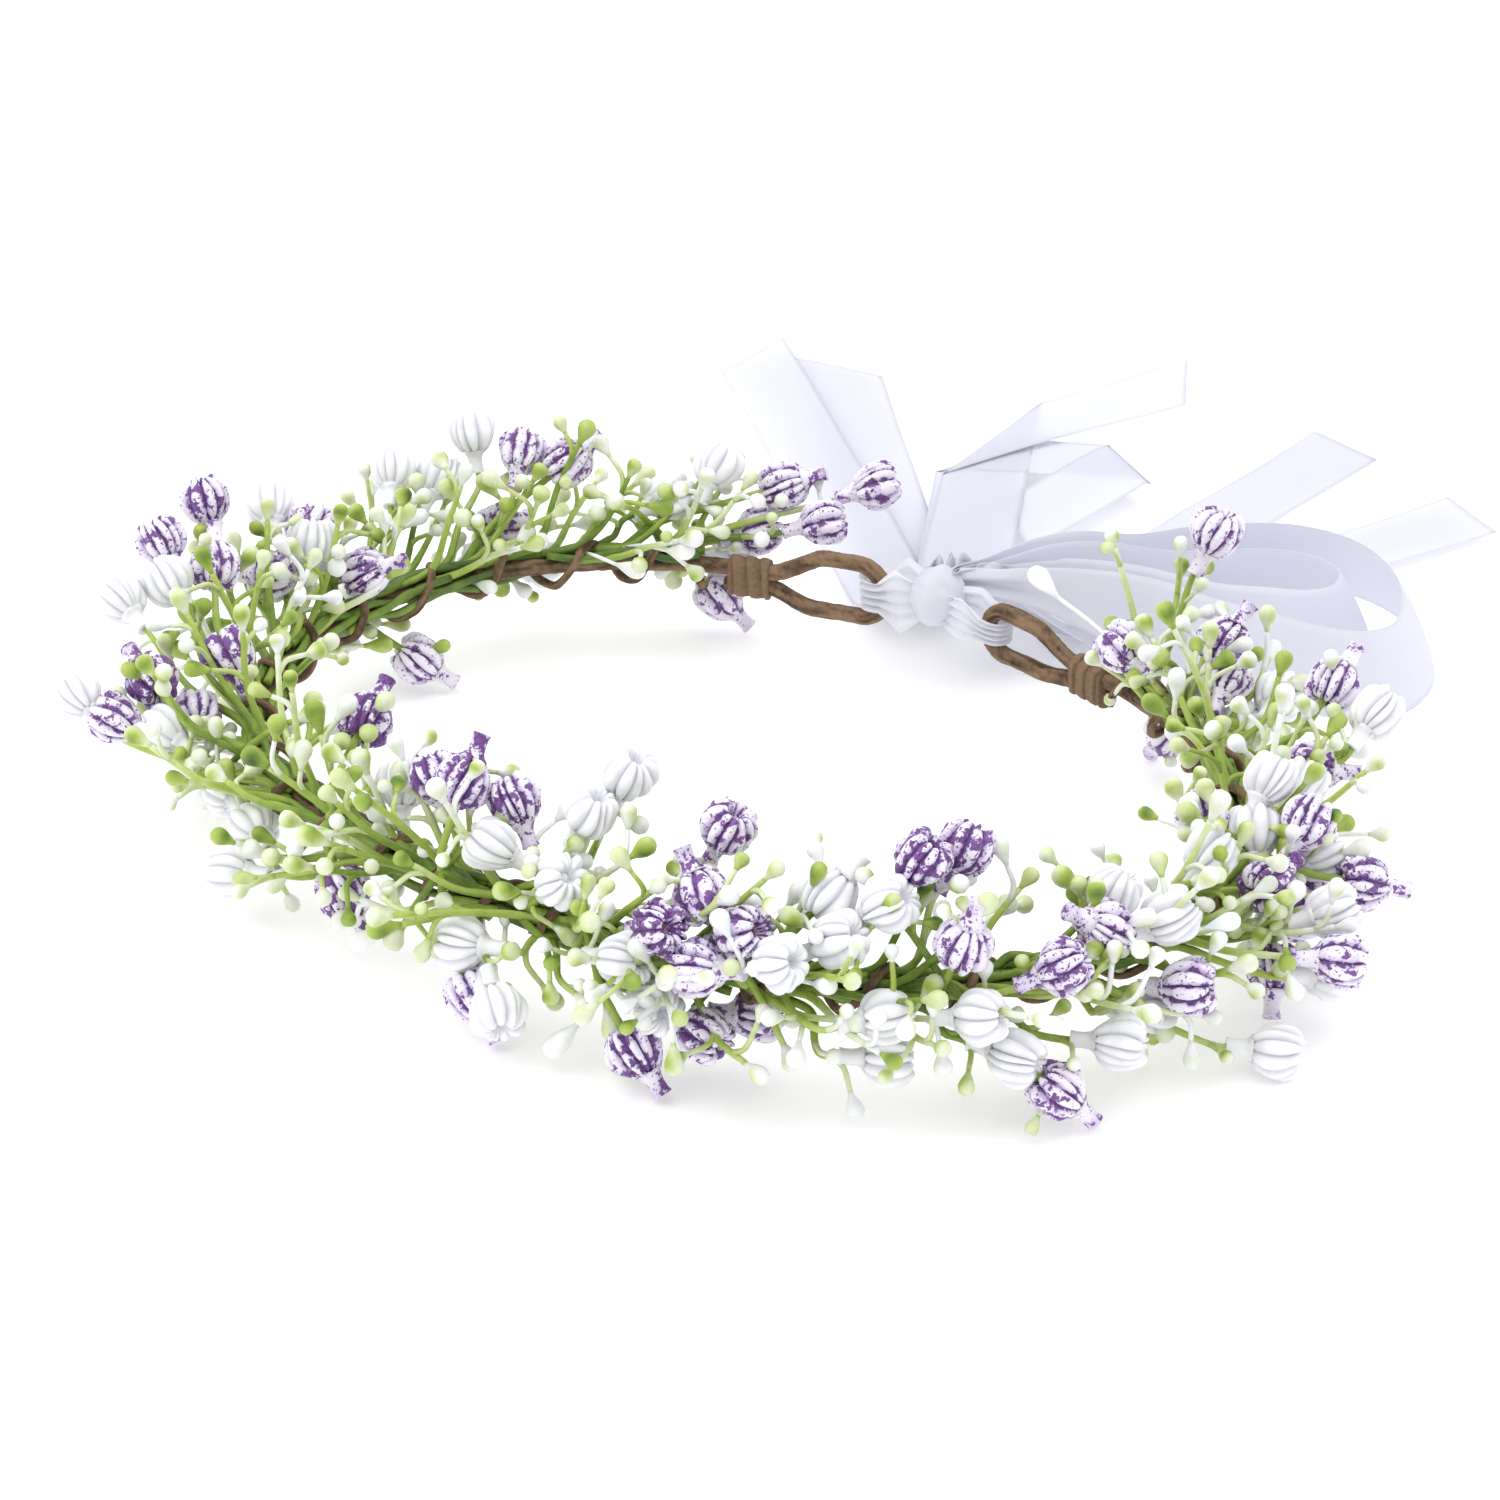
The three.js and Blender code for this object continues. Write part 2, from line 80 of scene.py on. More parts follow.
# ---- heads without a solid of their own: degrees round the hoop, mm out, mm up, how much dye ----
MORE_PURPLE = [
    (106, 22, 14, 0.4), (112, 12, 8, 0.5), (121, 13, 3, 0.5), (147, 14, 20, 0.4), (175, 14, 16, 0.5),
    (184, 25, 27, 0.6), (191, 27, 22, 0.5), (204, 6, 14, 0.9), (210, 28, 6, 0.5), (249, -5, 18, 0.95),
    (261, -4, 18, 0.7), (296, 10, -8, 0.6), (294, 9, 14, 0.9), (299, -10, 25, 0.5), (302, 10, 14, 0.5),
    (303, -2, -9, 0.5), (331, 14, 10, 0.7), (320, 0, 26, 0.9), (344, 15, -2, 0.5), (326, -6, 26, 0.9),
    (356, 31, -2, 0.4), (5, 15, -7, 0.5), (9, 14, -5, 0.9), (3, -4, 11, 0.6), (6, 14, 10, 0.5),
    (40, 11, 9, 0.5), (48, -4, 12, 0.5), (55, 24, 29, 0.15),
]
MORE_WHITE = [
    (176, 22, 19), (193, 25, 19), (196, 31, 16), (169, 16, -6), (174, 9, -9), (209, 34, 7), (161, 22, 18),
    (157, 19, 16), (153, 20, 25), (153, 12, 1), (126, 13, 18), (132, 12, 10), (125, 14, -9), (46, 10, 2),
    (27, 31, 14), (38, 13, -1), (19, 14, 6), (5, 7, 10), (354, 4, 14), (8, 21, 1), (0, 25, 2), (341, 1, 14),
    (344, 10, 11), (323, 16, 3), (350, 26, -16.6), (359, 25, -10), (328, 17, -10), (343, 8, -8),
    (282, -12, 28), (279, -5, 24), (288, 13, 6), (292, 12, -6), (317, 4, 22), (315, 13, 2), (316, 8, -10),
    (311, 6, 16), (216, 9, -6), (226, 11, -6), (228, 16, -10), (278, 7, 14), (265, 12, -6), (263, 0, 14),
]
# Whites that fill the hoop evenly: mm out, mm up.
FILL = [(17, -7), (7, 17), (21, 5), (-6, 13), (19, -10), (14, 13)]
FILL_COUNT = 9
# How much purple dye: the deep ones of the heads with a solid, the usual choices for the rest of them,
# and the share of MORE_PURPLE's amounts that is used.
DEEP_DYE = {9: 0.9, 11: 1.0, 13: 0.7, 12: 0.75, 22: 0.9, 16: 0.8}
USUAL_DYE = [0.2, 0.3, 0.4, 0.55]
MORE_DYE_SHARE = 0.8

# ---- the sprays' stems beyond those of the solids ----
PARTING = 267  # degrees; stems lean away from here, to both ends of the hoop
BUD_STEM_TURNS = [70, 20, 100, -20, 50, 130, 0, 85, 35, 8]  # degrees round the wire, one stem each
LYING_STEMS = 5

# ---- loose stamens: as STAMENS, then the pearl's radius ----
LOOSE_STAMENS = [
    (262, 268, 13, -9, 2.0), (258, 252, 16, -8, 1.9), (286, 293, 17, 6, 1.7), (340, 347, 17, 10, 1.8),
    (303, 309, 15, 9, 1.7), (212, 204, 20, -7, 2.0), (140, 133, -9, 7, 2.0), (146, 140, -8, 2, 1.9),
]


# ---- places round the hoop ----
def unit(v):
    return v / np.linalg.norm(v)


def hoop_radius(deg):
    a = math.radians(deg)
    waves = HOOP_FLAT * math.sin(a) + HOOP_SKEW * math.sin(2 * a) + HOOP_CORNERS * math.sin(3 * a)
    return HOOP_R + HOOP_OVAL * math.cos(2 * a) + waves


def place(deg, out=0.0, up=0.0):
    a = math.radians(deg)
    r = hoop_radius(deg) + out
    return np.array([r * math.cos(a), r * math.sin(a), HOOP_Z + up])


def along(deg):
    return unit(place(deg + 0.5) - place(deg - 0.5))


def outward(deg):
    return np.cross(along(deg), UP)


def around(deg, radius, turn):
    """A point beside the wire: turn 0 is straight out from the hoop and 90 straight up."""
    a = math.radians(turn)
    return place(deg) + radius * (math.cos(a) * outward(deg) + math.sin(a) * UP)


def degrees_for(mm, deg):
    return math.degrees(mm / hoop_radius(deg))


def between(value, low, high):
    return min(max(value, low), high)


KNOT = place(90, 0.7, 3)
KNOT_R = 6
FAN = KNOT + np.array([0, 3, -3])
SPRAYS_START = HOOP_START + degrees_for(WRAP_LENGTH + 3, HOOP_START)
SPRAYS_END = HOOP_END - degrees_for(WRAP_LENGTH + 3, HOOP_END)
PITCH = (SPRAYS_END - SPRAYS_START) / SPRAYS


def spray_degrees(k):
    return SPRAYS_START + PITCH * (k + 0.5)


def lean_of(k):
    return -1 if k < SPRAYS / 2 else 1


# ---- lines and their frames ----
def curve_between(a, b, c, d, t):
    """The stretch from b to c of a smooth curve through all four."""
    return 0.5 * (2 * b + (c - a) * t + (2 * a - 5 * b + 4 * c - d) * t**2 + (3 * b - a - 3 * c + d) * t**3)


def smooth(x, low, high):
    """0 at low and 1 at high, with a soft start and end."""
    t = np.clip((x - low) / (high - low), 0, 1)
    return t * t * (3 - 2 * t)


def flow(points, spacing=1.0):
    """A smooth line through these points."""
    p = np.array(points, float)
    ends = np.vstack([2 * p[0] - p[1], p, 2 * p[-1] - p[-2]])
    line = []
    for a, b, c, d in zip(ends, ends[1:], ends[2:], ends[3:]):
        n = max(2, math.ceil(np.linalg.norm(c - b) / spacing))
        t = np.linspace(0, 1, n, endpoint=False)[:, None]
        line.append(curve_between(a, b, c, d, t))
    line.append(p[-1:])
    return np.vstack(line)


def frames(line):
    """Heading, side and top at each point of a line, without twist."""
    heading = np.gradient(line, axis=0)
    heading /= np.linalg.norm(heading, axis=1, keepdims=True)
    side = np.cross(heading[0], UP if abs(heading[0][2]) < 0.9 else EAST)
    sides = []
    for h in heading:
        side = unit(side - h * np.dot(side, h))
        sides.append(side)
    sides = np.array(sides)
    return heading, sides, np.cross(heading, sides)


def run_along(line):
    """How far along the line each of its points is."""
    return np.concatenate([[0], np.cumsum(np.linalg.norm(np.diff(line, axis=0), axis=1))])


def rings(line, radius, sides):
    """Rings round a line. The radius has a row for each point of it, and one value or one for each side."""
    _, side, top = frames(line)
    a = np.linspace(0, 2 * math.pi, sides, endpoint=False)
    ring = side[:, None] * np.cos(a)[None, :, None] + top[:, None] * np.sin(a)[None, :, None]
    return line[:, None] + ring * radius[:, :, None]


def facing(axis, spin=0.0):
    """Rows of a frame whose third row is this axis."""
    z = unit(axis)
    x = unit(np.cross(UP if abs(z[2]) < 0.95 else EAST, z))
    y = np.cross(z, x)
    return np.array([math.cos(spin) * x + math.sin(spin) * y, math.cos(spin) * y - math.sin(spin) * x, z])


def grid_faces(rows, columns, closed):
    faces = []
    across = columns if closed else columns - 1
    for i in range(rows - 1):
        for j in range(across):
            k = (j + 1) % columns
            faces.append((i * columns + j, i * columns + k, (i + 1) * columns + k, (i + 1) * columns + j))
    return faces


def capped(rows, columns):
    faces = grid_faces(rows, columns, closed=True)
    faces.append(tuple(range(columns))[::-1])
    faces.append(tuple(range((rows - 1) * columns, rows * columns)))
    return faces


# ---- a piece in the making ----
class Shape:
    """Points in millimetres with their faces, and the marks that a finish reads at each point."""

    def __init__(self):
        self.points, self.faces, self.marks, self.count = [], [], {}, 0

    def add(self, points, faces, **marks):
        points = np.asarray(points, float).reshape(-1, 3)
        for name, value in marks.items():
            given = np.broadcast_to(np.asarray(value, float), (len(points),))
            self.marks.setdefault(name, []).append((self.count, given))
        self.points.append(points)
        self.faces += [tuple(i + self.count for i in face) for face in faces]
        self.count += len(points)

    def tube(self, line, radius, sides=8, **marks):
        radius = np.broadcast_to(np.asarray(radius, float), (len(line),))
        marks = {name: np.repeat(np.broadcast_to(v, (len(line),)), sides) for name, v in marks.items()}
        self.add(rings(line, radius[:, None], sides), capped(len(line), sides), **marks)

    def piece(self, name, finish, slot, body="crown", stands_for=(), closed=True):
        mesh = bpy.data.meshes.new(name)
        mesh.from_pydata((np.vstack(self.points) * MM).tolist(), [], self.faces)
        for mark, parts in self.marks.items():
            values = np.zeros(self.count, np.float32)
            for start, given in parts:
                values[start : start + len(given)] = given
            mesh.attributes.new(mark, "FLOAT", "POINT").data.foreach_set("value", values)
        if closed:
            whole = bmesh.new()
            whole.from_mesh(mesh)
            bmesh.ops.recalc_face_normals(whole, faces=whole.faces)
            whole.to_mesh(mesh)
            whole.free()
        mesh.shade_smooth()
        mesh.materials.append(finish)
        obj = bpy.data.objects.new(name, mesh)
        bpy.context.scene.collection.objects.link(obj)
        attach(obj, body)
        if stands_for:
            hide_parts(*stands_for)
        return obj


# ---- finishes ----
class Value:
    """A number that varies over a surface; arithmetic on it adds Math nodes."""

    def __init__(self, finish, socket):
        self.finish, self.socket = finish, socket

    def _maths(self, operation, first, second):
        return self.finish.node("ShaderNodeMath", {"operation": operation}, {0: first, 1: second})

    def __add__(self, other):
        return self._maths("ADD", self, other)

    def __radd__(self, other):
        return self._maths("ADD", other, self)

    def __sub__(self, other):
        return self._maths("SUBTRACT", self, other)

    def __rsub__(self, other):
        return self._maths("SUBTRACT", other, self)

    def __mul__(self, other):
        return self._maths("MULTIPLY", self, other)

    def __rmul__(self, other):
        return self._maths("MULTIPLY", other, self)


class Finish:
    """A material and the nodes behind its one Principled shader."""

    def __init__(self, name, **constants):
        self.material = bpy.data.materials.new(name)
        self.material.use_nodes = True
        self.tree = self.material.node_tree
        self.shader = self.tree.nodes["Principled BSDF"]
        for socket, value in constants.items():
            self.shader.inputs[socket.replace("_", " ")].default_value = value

    def node(self, kind, settings=None, inputs=None, output=0):
        made = self.tree.nodes.new(kind)
        for key, value in (settings or {}).items():
            if key == "stops":
                ramp = made.color_ramp
                while len(ramp.elements) < len(value):
                    ramp.elements.new(0.5)
                for element, (at, colour) in zip(ramp.elements, value):
                    element.position = at
                    element.color = (*colour, 1)
            else:
                setattr(made, key, value)
        for key, value in (inputs or {}).items():
            if isinstance(value, Value):
                self.tree.links.new(value.socket, made.inputs[key])
            else:
                made.inputs[key].default_value = value
        return Value(self, made.outputs[output])

    def mark(self, name):
        return self.node("ShaderNodeAttribute", {"attribute_name": name}, output="Fac")

    def where(self):
        return self.node("ShaderNodeTexCoord", output="Object")

    def noise(self, scale, detail=2.0, roughness=0.5):
        sockets = {"Vector": self.where(), "Scale": scale, "Detail": detail, "Roughness": roughness}
        return self.node("ShaderNodeTexNoise", {}, sockets)

    def smooth(self, value, low, high):
        sockets = {0: value, 1: low, 2: high}
        return self.node("ShaderNodeMapRange", {"interpolation_type": "SMOOTHSTEP"}, sockets)

    def ramp(self, value, stops):
        return self.node("ShaderNodeValToRGB", {"stops": stops}, {0: value})

    def mix(self, factor, first, second):
        first, second = (v if isinstance(v, Value) else (*v, 1) for v in (first, second))
        return self.node("ShaderNodeMix", {"data_type": "RGBA"}, {0: factor, 6: first, 7: second}, output=2)

    def bump(self, height, strength, distance):
        sockets = {"Height": height, "Strength": strength, "Distance": distance * MM}
        return self.node("ShaderNodeBump", {}, sockets)

    def feed(self, **sockets):
        for name, value in sockets.items():
            self.tree.links.new(value.socket, self.shader.inputs[name.replace("_", " ")])
        return self.material

    def let_light_through(self, share, colour):
        """Thin cloth: part of the light passes to the other side."""
        through = self.node("ShaderNodeBsdfTranslucent", {}, {"Color": (*colour, 1)})
        both = self.node("ShaderNodeMixShader", {}, {0: share, 2: through})
        self.tree.links.new(self.shader.outputs[0], both.socket.node.inputs[1])
        self.tree.links.new(both.socket, self.tree.nodes["Material Output"].inputs["Surface"])
        return self.material


def soft_plastic(name, share, depth, ior=1.45):
    """Plastic that light goes a little way into; the depth is in mm."""
    inside = {"Subsurface_Weight": share, "Subsurface_Scale": depth * MM, "Subsurface_Radius": (1, 1, 1)}
    return Finish(name, IOR=ior, **inside)


def dyed_petals():
    """Lilac-white moulded petals, dyed purple in thin lines between the petals and in specks."""
    f = soft_plastic("dyed_petals", 0.2, 2)
    dye, groove, heart = f.mark("dye"), f.mark("groove"), f.mark("heart")
    patches, blots, specks = f.noise(230, 3, 0.6), f.noise(460, 3, 0.65), f.noise(1500, 2, 0.6)
    lines = f.smooth(groove + (blots - 0.5) * 2.0 + dye * 0.3, 0.74, 0.95)
    spots = f.smooth(specks + dye * 0.05 + (patches - 0.5) * 0.3, 0.62, 0.67)
    soaked = f.smooth(blots + (patches - 0.5) * 0.8 + dye * 0.25, 0.69, 0.76)
    wash = f.smooth(groove + (patches - 0.5) * 1.6 + dye * 0.35, 0.25, 1.2)
    stain = lines + spots + soaked
    deep = f.mix(f.smooth(specks + blots, 0.85, 1.15), (0.075, 0.018, 0.125), (0.185, 0.078, 0.28))
    pale = f.mix(wash, (0.80, 0.755, 0.87), (0.43, 0.32, 0.58))
    middle = f.mix(heart * 0.8, pale, (0.55, 0.36, 0.36))
    return f.feed(
        Base_Color=f.mix(stain * (1 - 0.5 * heart), middle, deep),
        Roughness=0.36 + 0.25 * blots,
        Normal=f.bump(blots + specks * 0.4, 0.45, 0.3),
    )


def white_petals():
    """White moulded petals, with painted shade that greys the grooves between them."""
    f = soft_plastic("white_petals", 0.35, 3)
    groove = f.mark("groove")
    cloud = f.noise(300, 2)
    # The groove mark greys the white towards (0.60, 0.61, 0.69): painted shade in the grooves and hollows.
    colour = f.mix(groove * 0.6 + (cloud - 0.5) * 0.4, (0.85, 0.85, 0.88), (0.60, 0.61, 0.69))
    return f.feed(Base_Color=colour, Roughness=0.32 + 0.2 * cloud, Normal=f.bump(cloud, 0.35, 0.4))


def moulded_green():
    """Green plastic that is dark by the wire and sprayed white towards the tips."""
    f = soft_plastic("moulded_green", 0.12, 2, ior=1.46)
    pale, tone = f.mark("pale"), f.mark("tone")
    mottle = f.noise(260, 3, 0.6)
    fine = f.noise(1300, 2)
    level = pale + (tone - 0.5) * 0.3 + (mottle - 0.5) * 0.45
    stops = [
        (0.0, (0.05, 0.11, 0.012)),
        (0.25, (0.18, 0.28, 0.03)),
        (0.5, (0.36, 0.46, 0.085)),
        (0.75, (0.60, 0.66, 0.38)),
        (1.0, (0.80, 0.81, 0.83)),
    ]
    return f.feed(
        Base_Color=f.ramp(level, stops),
        Roughness=0.30 + 0.22 * mottle,
        Normal=f.bump(mottle + fine * 0.5, 0.35, 0.12),
    )


def brown_paper():
    """Floral paper tape, stretched and wound: lengthwise grain and small creases."""
    f = Finish("brown_paper", IOR=1.4)
    lift, tone = f.mark("lift"), f.mark("tone")
    blotch = f.noise(180, 3)
    fibre = f.noise(900, 4, 0.7)
    crease = f.noise(420, 5, 0.75)
    dark = f.mix(f.smooth(blotch, 0.3, 0.7), (0.045, 0.026, 0.014), (0.10, 0.060, 0.034))
    # lift paints the raised part of each lap a little lighter and the low step under the next lap darker:
    # painted light and shade on the laps.
    colour = f.mix(f.smooth(lift * 0.15 + fibre * 0.6 + tone * 0.8, 0.42, 1.15), dark, (0.24, 0.155, 0.092))
    return f.feed(
        Base_Color=colour,
        Roughness=0.78 + 0.2 * fibre,
        Normal=f.bump(fibre + crease, 0.8, 0.3),
    )


def drawn_steel():
    """The wire inside the paper."""
    f = Finish("drawn_steel", Metallic=1.0)
    grain = f.noise(900, 2)
    colour = f.ramp(grain, [(0.3, (0.35, 0.35, 0.36)), (0.7, (0.6, 0.6, 0.61))])
    return f.feed(Base_Color=colour, Roughness=0.3 + 0.2 * grain)


def satin_ribbon():
    """White satin: a fine weave along and across, and a brighter woven edge."""
    f = Finish("satin_ribbon", IOR=1.4, Sheen_Weight=0.1, Sheen_Roughness=0.4)
    run, span = f.mark("run"), f.mark("span")
    warp = f.node("ShaderNodeMath", {"operation": "SINE"}, {0: span * 260.0})
    weft = f.node("ShaderNodeMath", {"operation": "SINE"}, {0: run * 14.0})
    slub = f.noise(500, 2)
    edge = f.smooth(f.node("ShaderNodeMath", {"operation": "ABSOLUTE"}, {0: span}), 0.93, 0.97)
    colour = f.mix(edge * 0.6 + (slub - 0.5) * 0.25, (0.83, 0.835, 0.89), (0.88, 0.88, 0.92))
    f.feed(
        Base_Color=colour,
        Roughness=0.46 + 0.12 * slub - 0.1 * edge,
        Normal=f.bump(warp * 0.5 + weft * 0.5 + slub, 0.18, 0.06),
    )
    return f.let_light_through(0.5, (0.86, 0.865, 0.925))


def pearl_plastic():
    """The stamens' glossy, slightly clouded white."""
    coat = {"Coat_Weight": 0.4, "Coat_Roughness": 0.15}
    f = Finish("pearl_plastic", IOR=1.5, Subsurface_Weight=0.3, Subsurface_Scale=3 * MM, **coat)
    cloud = f.noise(240, 3)
    colour = f.mix(f.smooth(cloud, 0.35, 0.7), (0.88, 0.89, 0.90), (0.80, 0.81, 0.80))
    return f.feed(Base_Color=colour, Roughness=0.28 + 0.2 * cloud, Normal=f.bump(cloud, 0.15, 0.3))


DYED, WHITE, GREEN, PAPER = dyed_petals(), white_petals(), moulded_green(), brown_paper()
STEEL, SATIN, PEARL = drawn_steel(), satin_ribbon(), pearl_plastic()


# ---- wire, binding and wraps ----
def eyelet(deg, length, height):
    """The loop that an end of the wire is bent into, towards the knot."""
    base = place(deg)
    ahead = unit(KNOT - base)
    rise = unit(UP - ahead * ahead[2])
    half = height / 2
    middle = base - rise * half * EYELET_DROP
    spot = lambda t, h: middle + ahead * t + rise * h
    bend = [
        spot(length - half + half * math.cos(math.radians(a)), half * math.sin(math.radians(a)))
        for a in range(90, -91, -30)
    ]
    upper = [spot(length * t, half * h) for t, h in EYELET_UPPER]
    lower = [spot(length * t, half * h) for t, h in EYELET_LOWER]
    points = upper + bend + lower
    return {"ahead": ahead, "rise": rise, "half": half, "tip": spot(length, 0), "points": points}


def tucked(deg, direction):
    """The end of the wire, brought back under the hoop from its eyelet."""
    steps = (0.5, WRAP_LENGTH / 2, WRAP_LENGTH)
    return [place(deg + direction * degrees_for(mm, deg), 0, -TUCK) for mm in steps]


LEFT, RIGHT = eyelet(*EYELETS["left"]), eyelet(*EYELETS["right"])
hoop_points = [place(d) for d in np.linspace(HOOP_START, HOOP_END, 51)]
left_end = tucked(HOOP_START, 1)[::-1] + LEFT["points"][::-1]
wire_points = left_end + hoop_points + RIGHT["points"] + tucked(HOOP_END, -1)


def wound(name, line, radius, sides, lay, seed, rough, node, ridge=0.06):
    """A wire in paper tape wound on at a slant: each turn laps over the last in a small ridge."""
    a = np.linspace(0, 2 * math.pi, sides, endpoint=False)
    turns = (run_along(line)[:, None] / lay + a[None, :] / (2 * math.pi)) % 1.0
    creases = np.random.default_rng(seed).normal(0, 1, (len(line), sides))
    for step in (1, 2, 4):
        creases = (creases + np.roll(creases, step, 0)) / 1.45
    lift = np.clip(turns * 1.6, 0, 1) * (turns < 0.93)
    r = radius * (1 - ridge / 2) + ridge * lift + rough * creases
    r[[0, -1]] *= 0.7
    wire = Shape()
    faces = capped(len(line), sides)
    wire.add(rings(line, r, sides), faces, lift=lift.ravel(), tone=0.5 + 0.3 * creases.ravel())
    wire.piece(name, PAPER, "brown_paper", stands_for=[node])


wound("paper_covered_wire", flow(wire_points, 0.8), PAPER_R - 0.02, 16, 11, 3, 0.12, "paper_covering")

# The binding goes round the solid stems' radius in the part; here it is drawn in onto the wire, unevenly.
binding_radius = (LAY_R + STEM_R + GAP + BINDING_R) / math.cos(math.pi / 8)
binding_steps = 16 * TURNS_PER_SPRAY * SPRAYS
binding_points = []
for i in range(binding_steps + 1):
    deg = SPRAYS_START + (SPRAYS_END - SPRAYS_START) * i / binding_steps
    turn = EXIT_TURN + 180 + 360 * TURNS_PER_SPRAY * (deg - spray_degrees(0)) / PITCH
    sway = 1.6 * math.sin(deg * 0.9) + 1.1 * math.sin(deg * 2.3 + 1)
    binding_points.append(around(deg + 0.12 * sway, binding_radius - 1.15 + 0.28 * sway / 2, turn))
wound("binding", flow(binding_points, 0.9), BINDING_R + 0.1, 8, 5.0, 5, 0.07, "binding_wire")


def wrap(name, deg, direction, node):
    """Tape wound several times over the hoop and its tucked end."""
    start = deg + direction * degrees_for(1.2, deg)
    stations, columns, reach, lay = 46, 26, WRAP_LENGTH - 2.2, 3.1
    points, lifts = [], []
    rng = random.Random(name)
    for i in range(stations):
        run = reach * i / (stations - 1)
        d = start + direction * degrees_for(run, deg)
        centre, out = place(d), outward(d)
        for j in range(columns):
            a = 2 * math.pi * j / columns
            turn = (run / lay + j / columns) % 1.0
            lap = min(turn * 1.8, 1.0) if turn < 0.92 else 0.0
            r = PAPER_R + 0.55 + 0.45 * lap + rng.uniform(-0.07, 0.07)
            if i in (0, stations - 1):
                r -= 0.5
            hang = TUCK * between(-3 * math.sin(a), 0.0, 1.0)
            points.append(centre + out * r * math.cos(a) + UP * (r * math.sin(a) - hang))
            lifts.append(lap)
    sleeve = Shape()
    sleeve.add(points, capped(stations, columns), lift=lifts, tone=0.6)
    sleeve.piece(name, PAPER, "brown_paper", stands_for=[node])


wrap("tape_wrap_left", HOOP_START, 1, "eyelet_wrap_left")
wrap("tape_wrap_right", HOOP_END, -1, "eyelet_wrap_right")
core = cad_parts["wire_core"]
core.data.materials.clear()
core.data.materials.append(STEEL)

# ---- flower heads ----
# Outlines are (distance from the axis, height), in the globe's radius, up the globe and down the neck.
PETALS = 11
FULLNESS = 1.05
GLOBE_LINE = [
    (0.26, -0.92), (0.60, -0.74), (0.86, -0.42), (0.98, -0.02), (0.95, 0.36), (0.80, 0.66), (0.57, 0.84),
    (0.37, 0.82), (0.25, 0.62), (0.17, 0.44), (0.0, 0.40),
]
NECK = [
    (0.0, -0.80), (0.52, -0.80), (0.40, -0.93), (0.315, -1.06), (0.285, -1.3), (0.29, -1.55), (0.325, -1.66),
    (0.325, -1.70), (0.17, -1.70), (0.0, -1.66),
]
FULL_TURN = 6.28


def spline(values, n):
    """n points evenly spaced along a smooth curve through these, by their count."""
    values = np.array(values, float)
    at = np.linspace(0, len(values) - 1, n)
    padded = np.vstack([2 * values[0] - values[1], values, 2 * values[-1] - values[-2]])
    i = np.minimum(at.astype(int), len(values) - 2)
    t = (at - i)[:, None]
    return curve_between(*(padded[i + k] for k in range(4)), t)


def lathe(profile, columns):
    """An outline turned round the z axis; its first and last points lie on the axis."""
    profile = np.array(profile, float)
    a = np.linspace(0, 2 * math.pi, columns, endpoint=False)
    r, z = profile[:, 0, None], profile[:, 1, None]
    points = np.stack([r * np.cos(a), r * np.sin(a), np.repeat(z, columns, 1)], axis=-1)
    inner = points[1:-1]
    rows = len(inner)
    faces = grid_faces(rows, columns, closed=True)
    bottom, top = rows * columns, rows * columns + 1
    for j in range(columns):
        k = (j + 1) % columns
        faces.append((bottom, k, j))
        faces.append((top, (rows - 1) * columns + j, (rows - 1) * columns + k))
    return np.vstack([inner.reshape(-1, 3), points[0, :1], points[-1, :1]]), faces


STATIONS, COLUMNS = 22, 8 * PETALS
globe_faces = capped(STATIONS, COLUMNS)
neck_points, neck_faces = lathe(NECK, 14)


def flower_head(shape, centre, axis, rng, dye=0.0, radius=FLOWER_R):
    """A globe of uneven petals that touch and curl in round a small heart, on a neck with a mouth."""
    turn = facing(axis, rng.uniform(0, FULL_TURN))
    put = lambda points: (np.asarray(points).reshape(-1, 3) * radius * FULLNESS) @ turn + centre
    line = spline(GLOBE_LINE, STATIONS)
    steps = np.linspace(0, 1, STATIONS)[:, None]
    u = np.linspace(0, 2 * math.pi, COLUMNS, endpoint=False)[None, :]
    start = [rng.uniform(0, FULL_TURN) for _ in range(4)]
    swing = 0.11 * np.sin(2 * u + start[0]) + 0.10 * np.sin(3 * u + start[1])
    swing = swing + rng.uniform(-0.5, 0.5) * (steps - 0.5)
    swing = swing + 0.10 * np.sin(steps * 6 + 2 * u + start[2])
    petal = np.floor(u * PETALS / (2 * math.pi) + 1e-6).astype(int) % PETALS
    own = np.array([rng.uniform(-1, 1) for _ in range(PETALS)])[petal]
    other = np.array([rng.uniform(0, FULL_TURN) for _ in range(PETALS)])[petal]
    ridge = np.abs(np.sin(u * PETALS / 2))
    depth = 0.23 * np.sin(np.clip(steps * 1.15, 0.12, 1) * math.pi) ** 0.5 + 0.06
    plump = 1 - depth * (1 - ridge**0.6) + ridge * (0.045 * own + 0.06 * np.sin(steps * 13 + other))
    rho = line[:, 0, None] * plump
    z = line[:, 1, None] * (1 + (plump - 1) * 0.8) + 0.06 * own * ridge * smooth(steps, 0.4, 0.7)
    angle = u + swing
    points = np.stack([rho * np.cos(angle), rho * np.sin(angle), z], -1)
    dents = 0.5 * smooth(-np.sin(steps * 13 + other), 0.7, 1.0)
    # groove: the furrows between petals, small dents and the hollow where they curl in. The purple heads' dye
    # gathers there; on the white heads it is painted shade.
    groove = np.clip(1 - ridge + dents + 0.6 * smooth(steps, 0.72, 0.86), 0, 1)
    heart = np.clip((steps - 0.84) * 8, 0, 1) + 0 * u
    shape.add(put(points), globe_faces, groove=groove.ravel(), dye=dye, heart=heart.ravel())
    # On the neck the groove mark grows towards the mouth; on the white heads this greying is painted shade.
    mouth = np.clip((-1.0 - neck_points[:, 2]) * 1.4, 0, 1)
    shape.add(put(neck_points), neck_faces, groove=0.2 + 0.4 * mouth, dye=dye, heart=0.0)


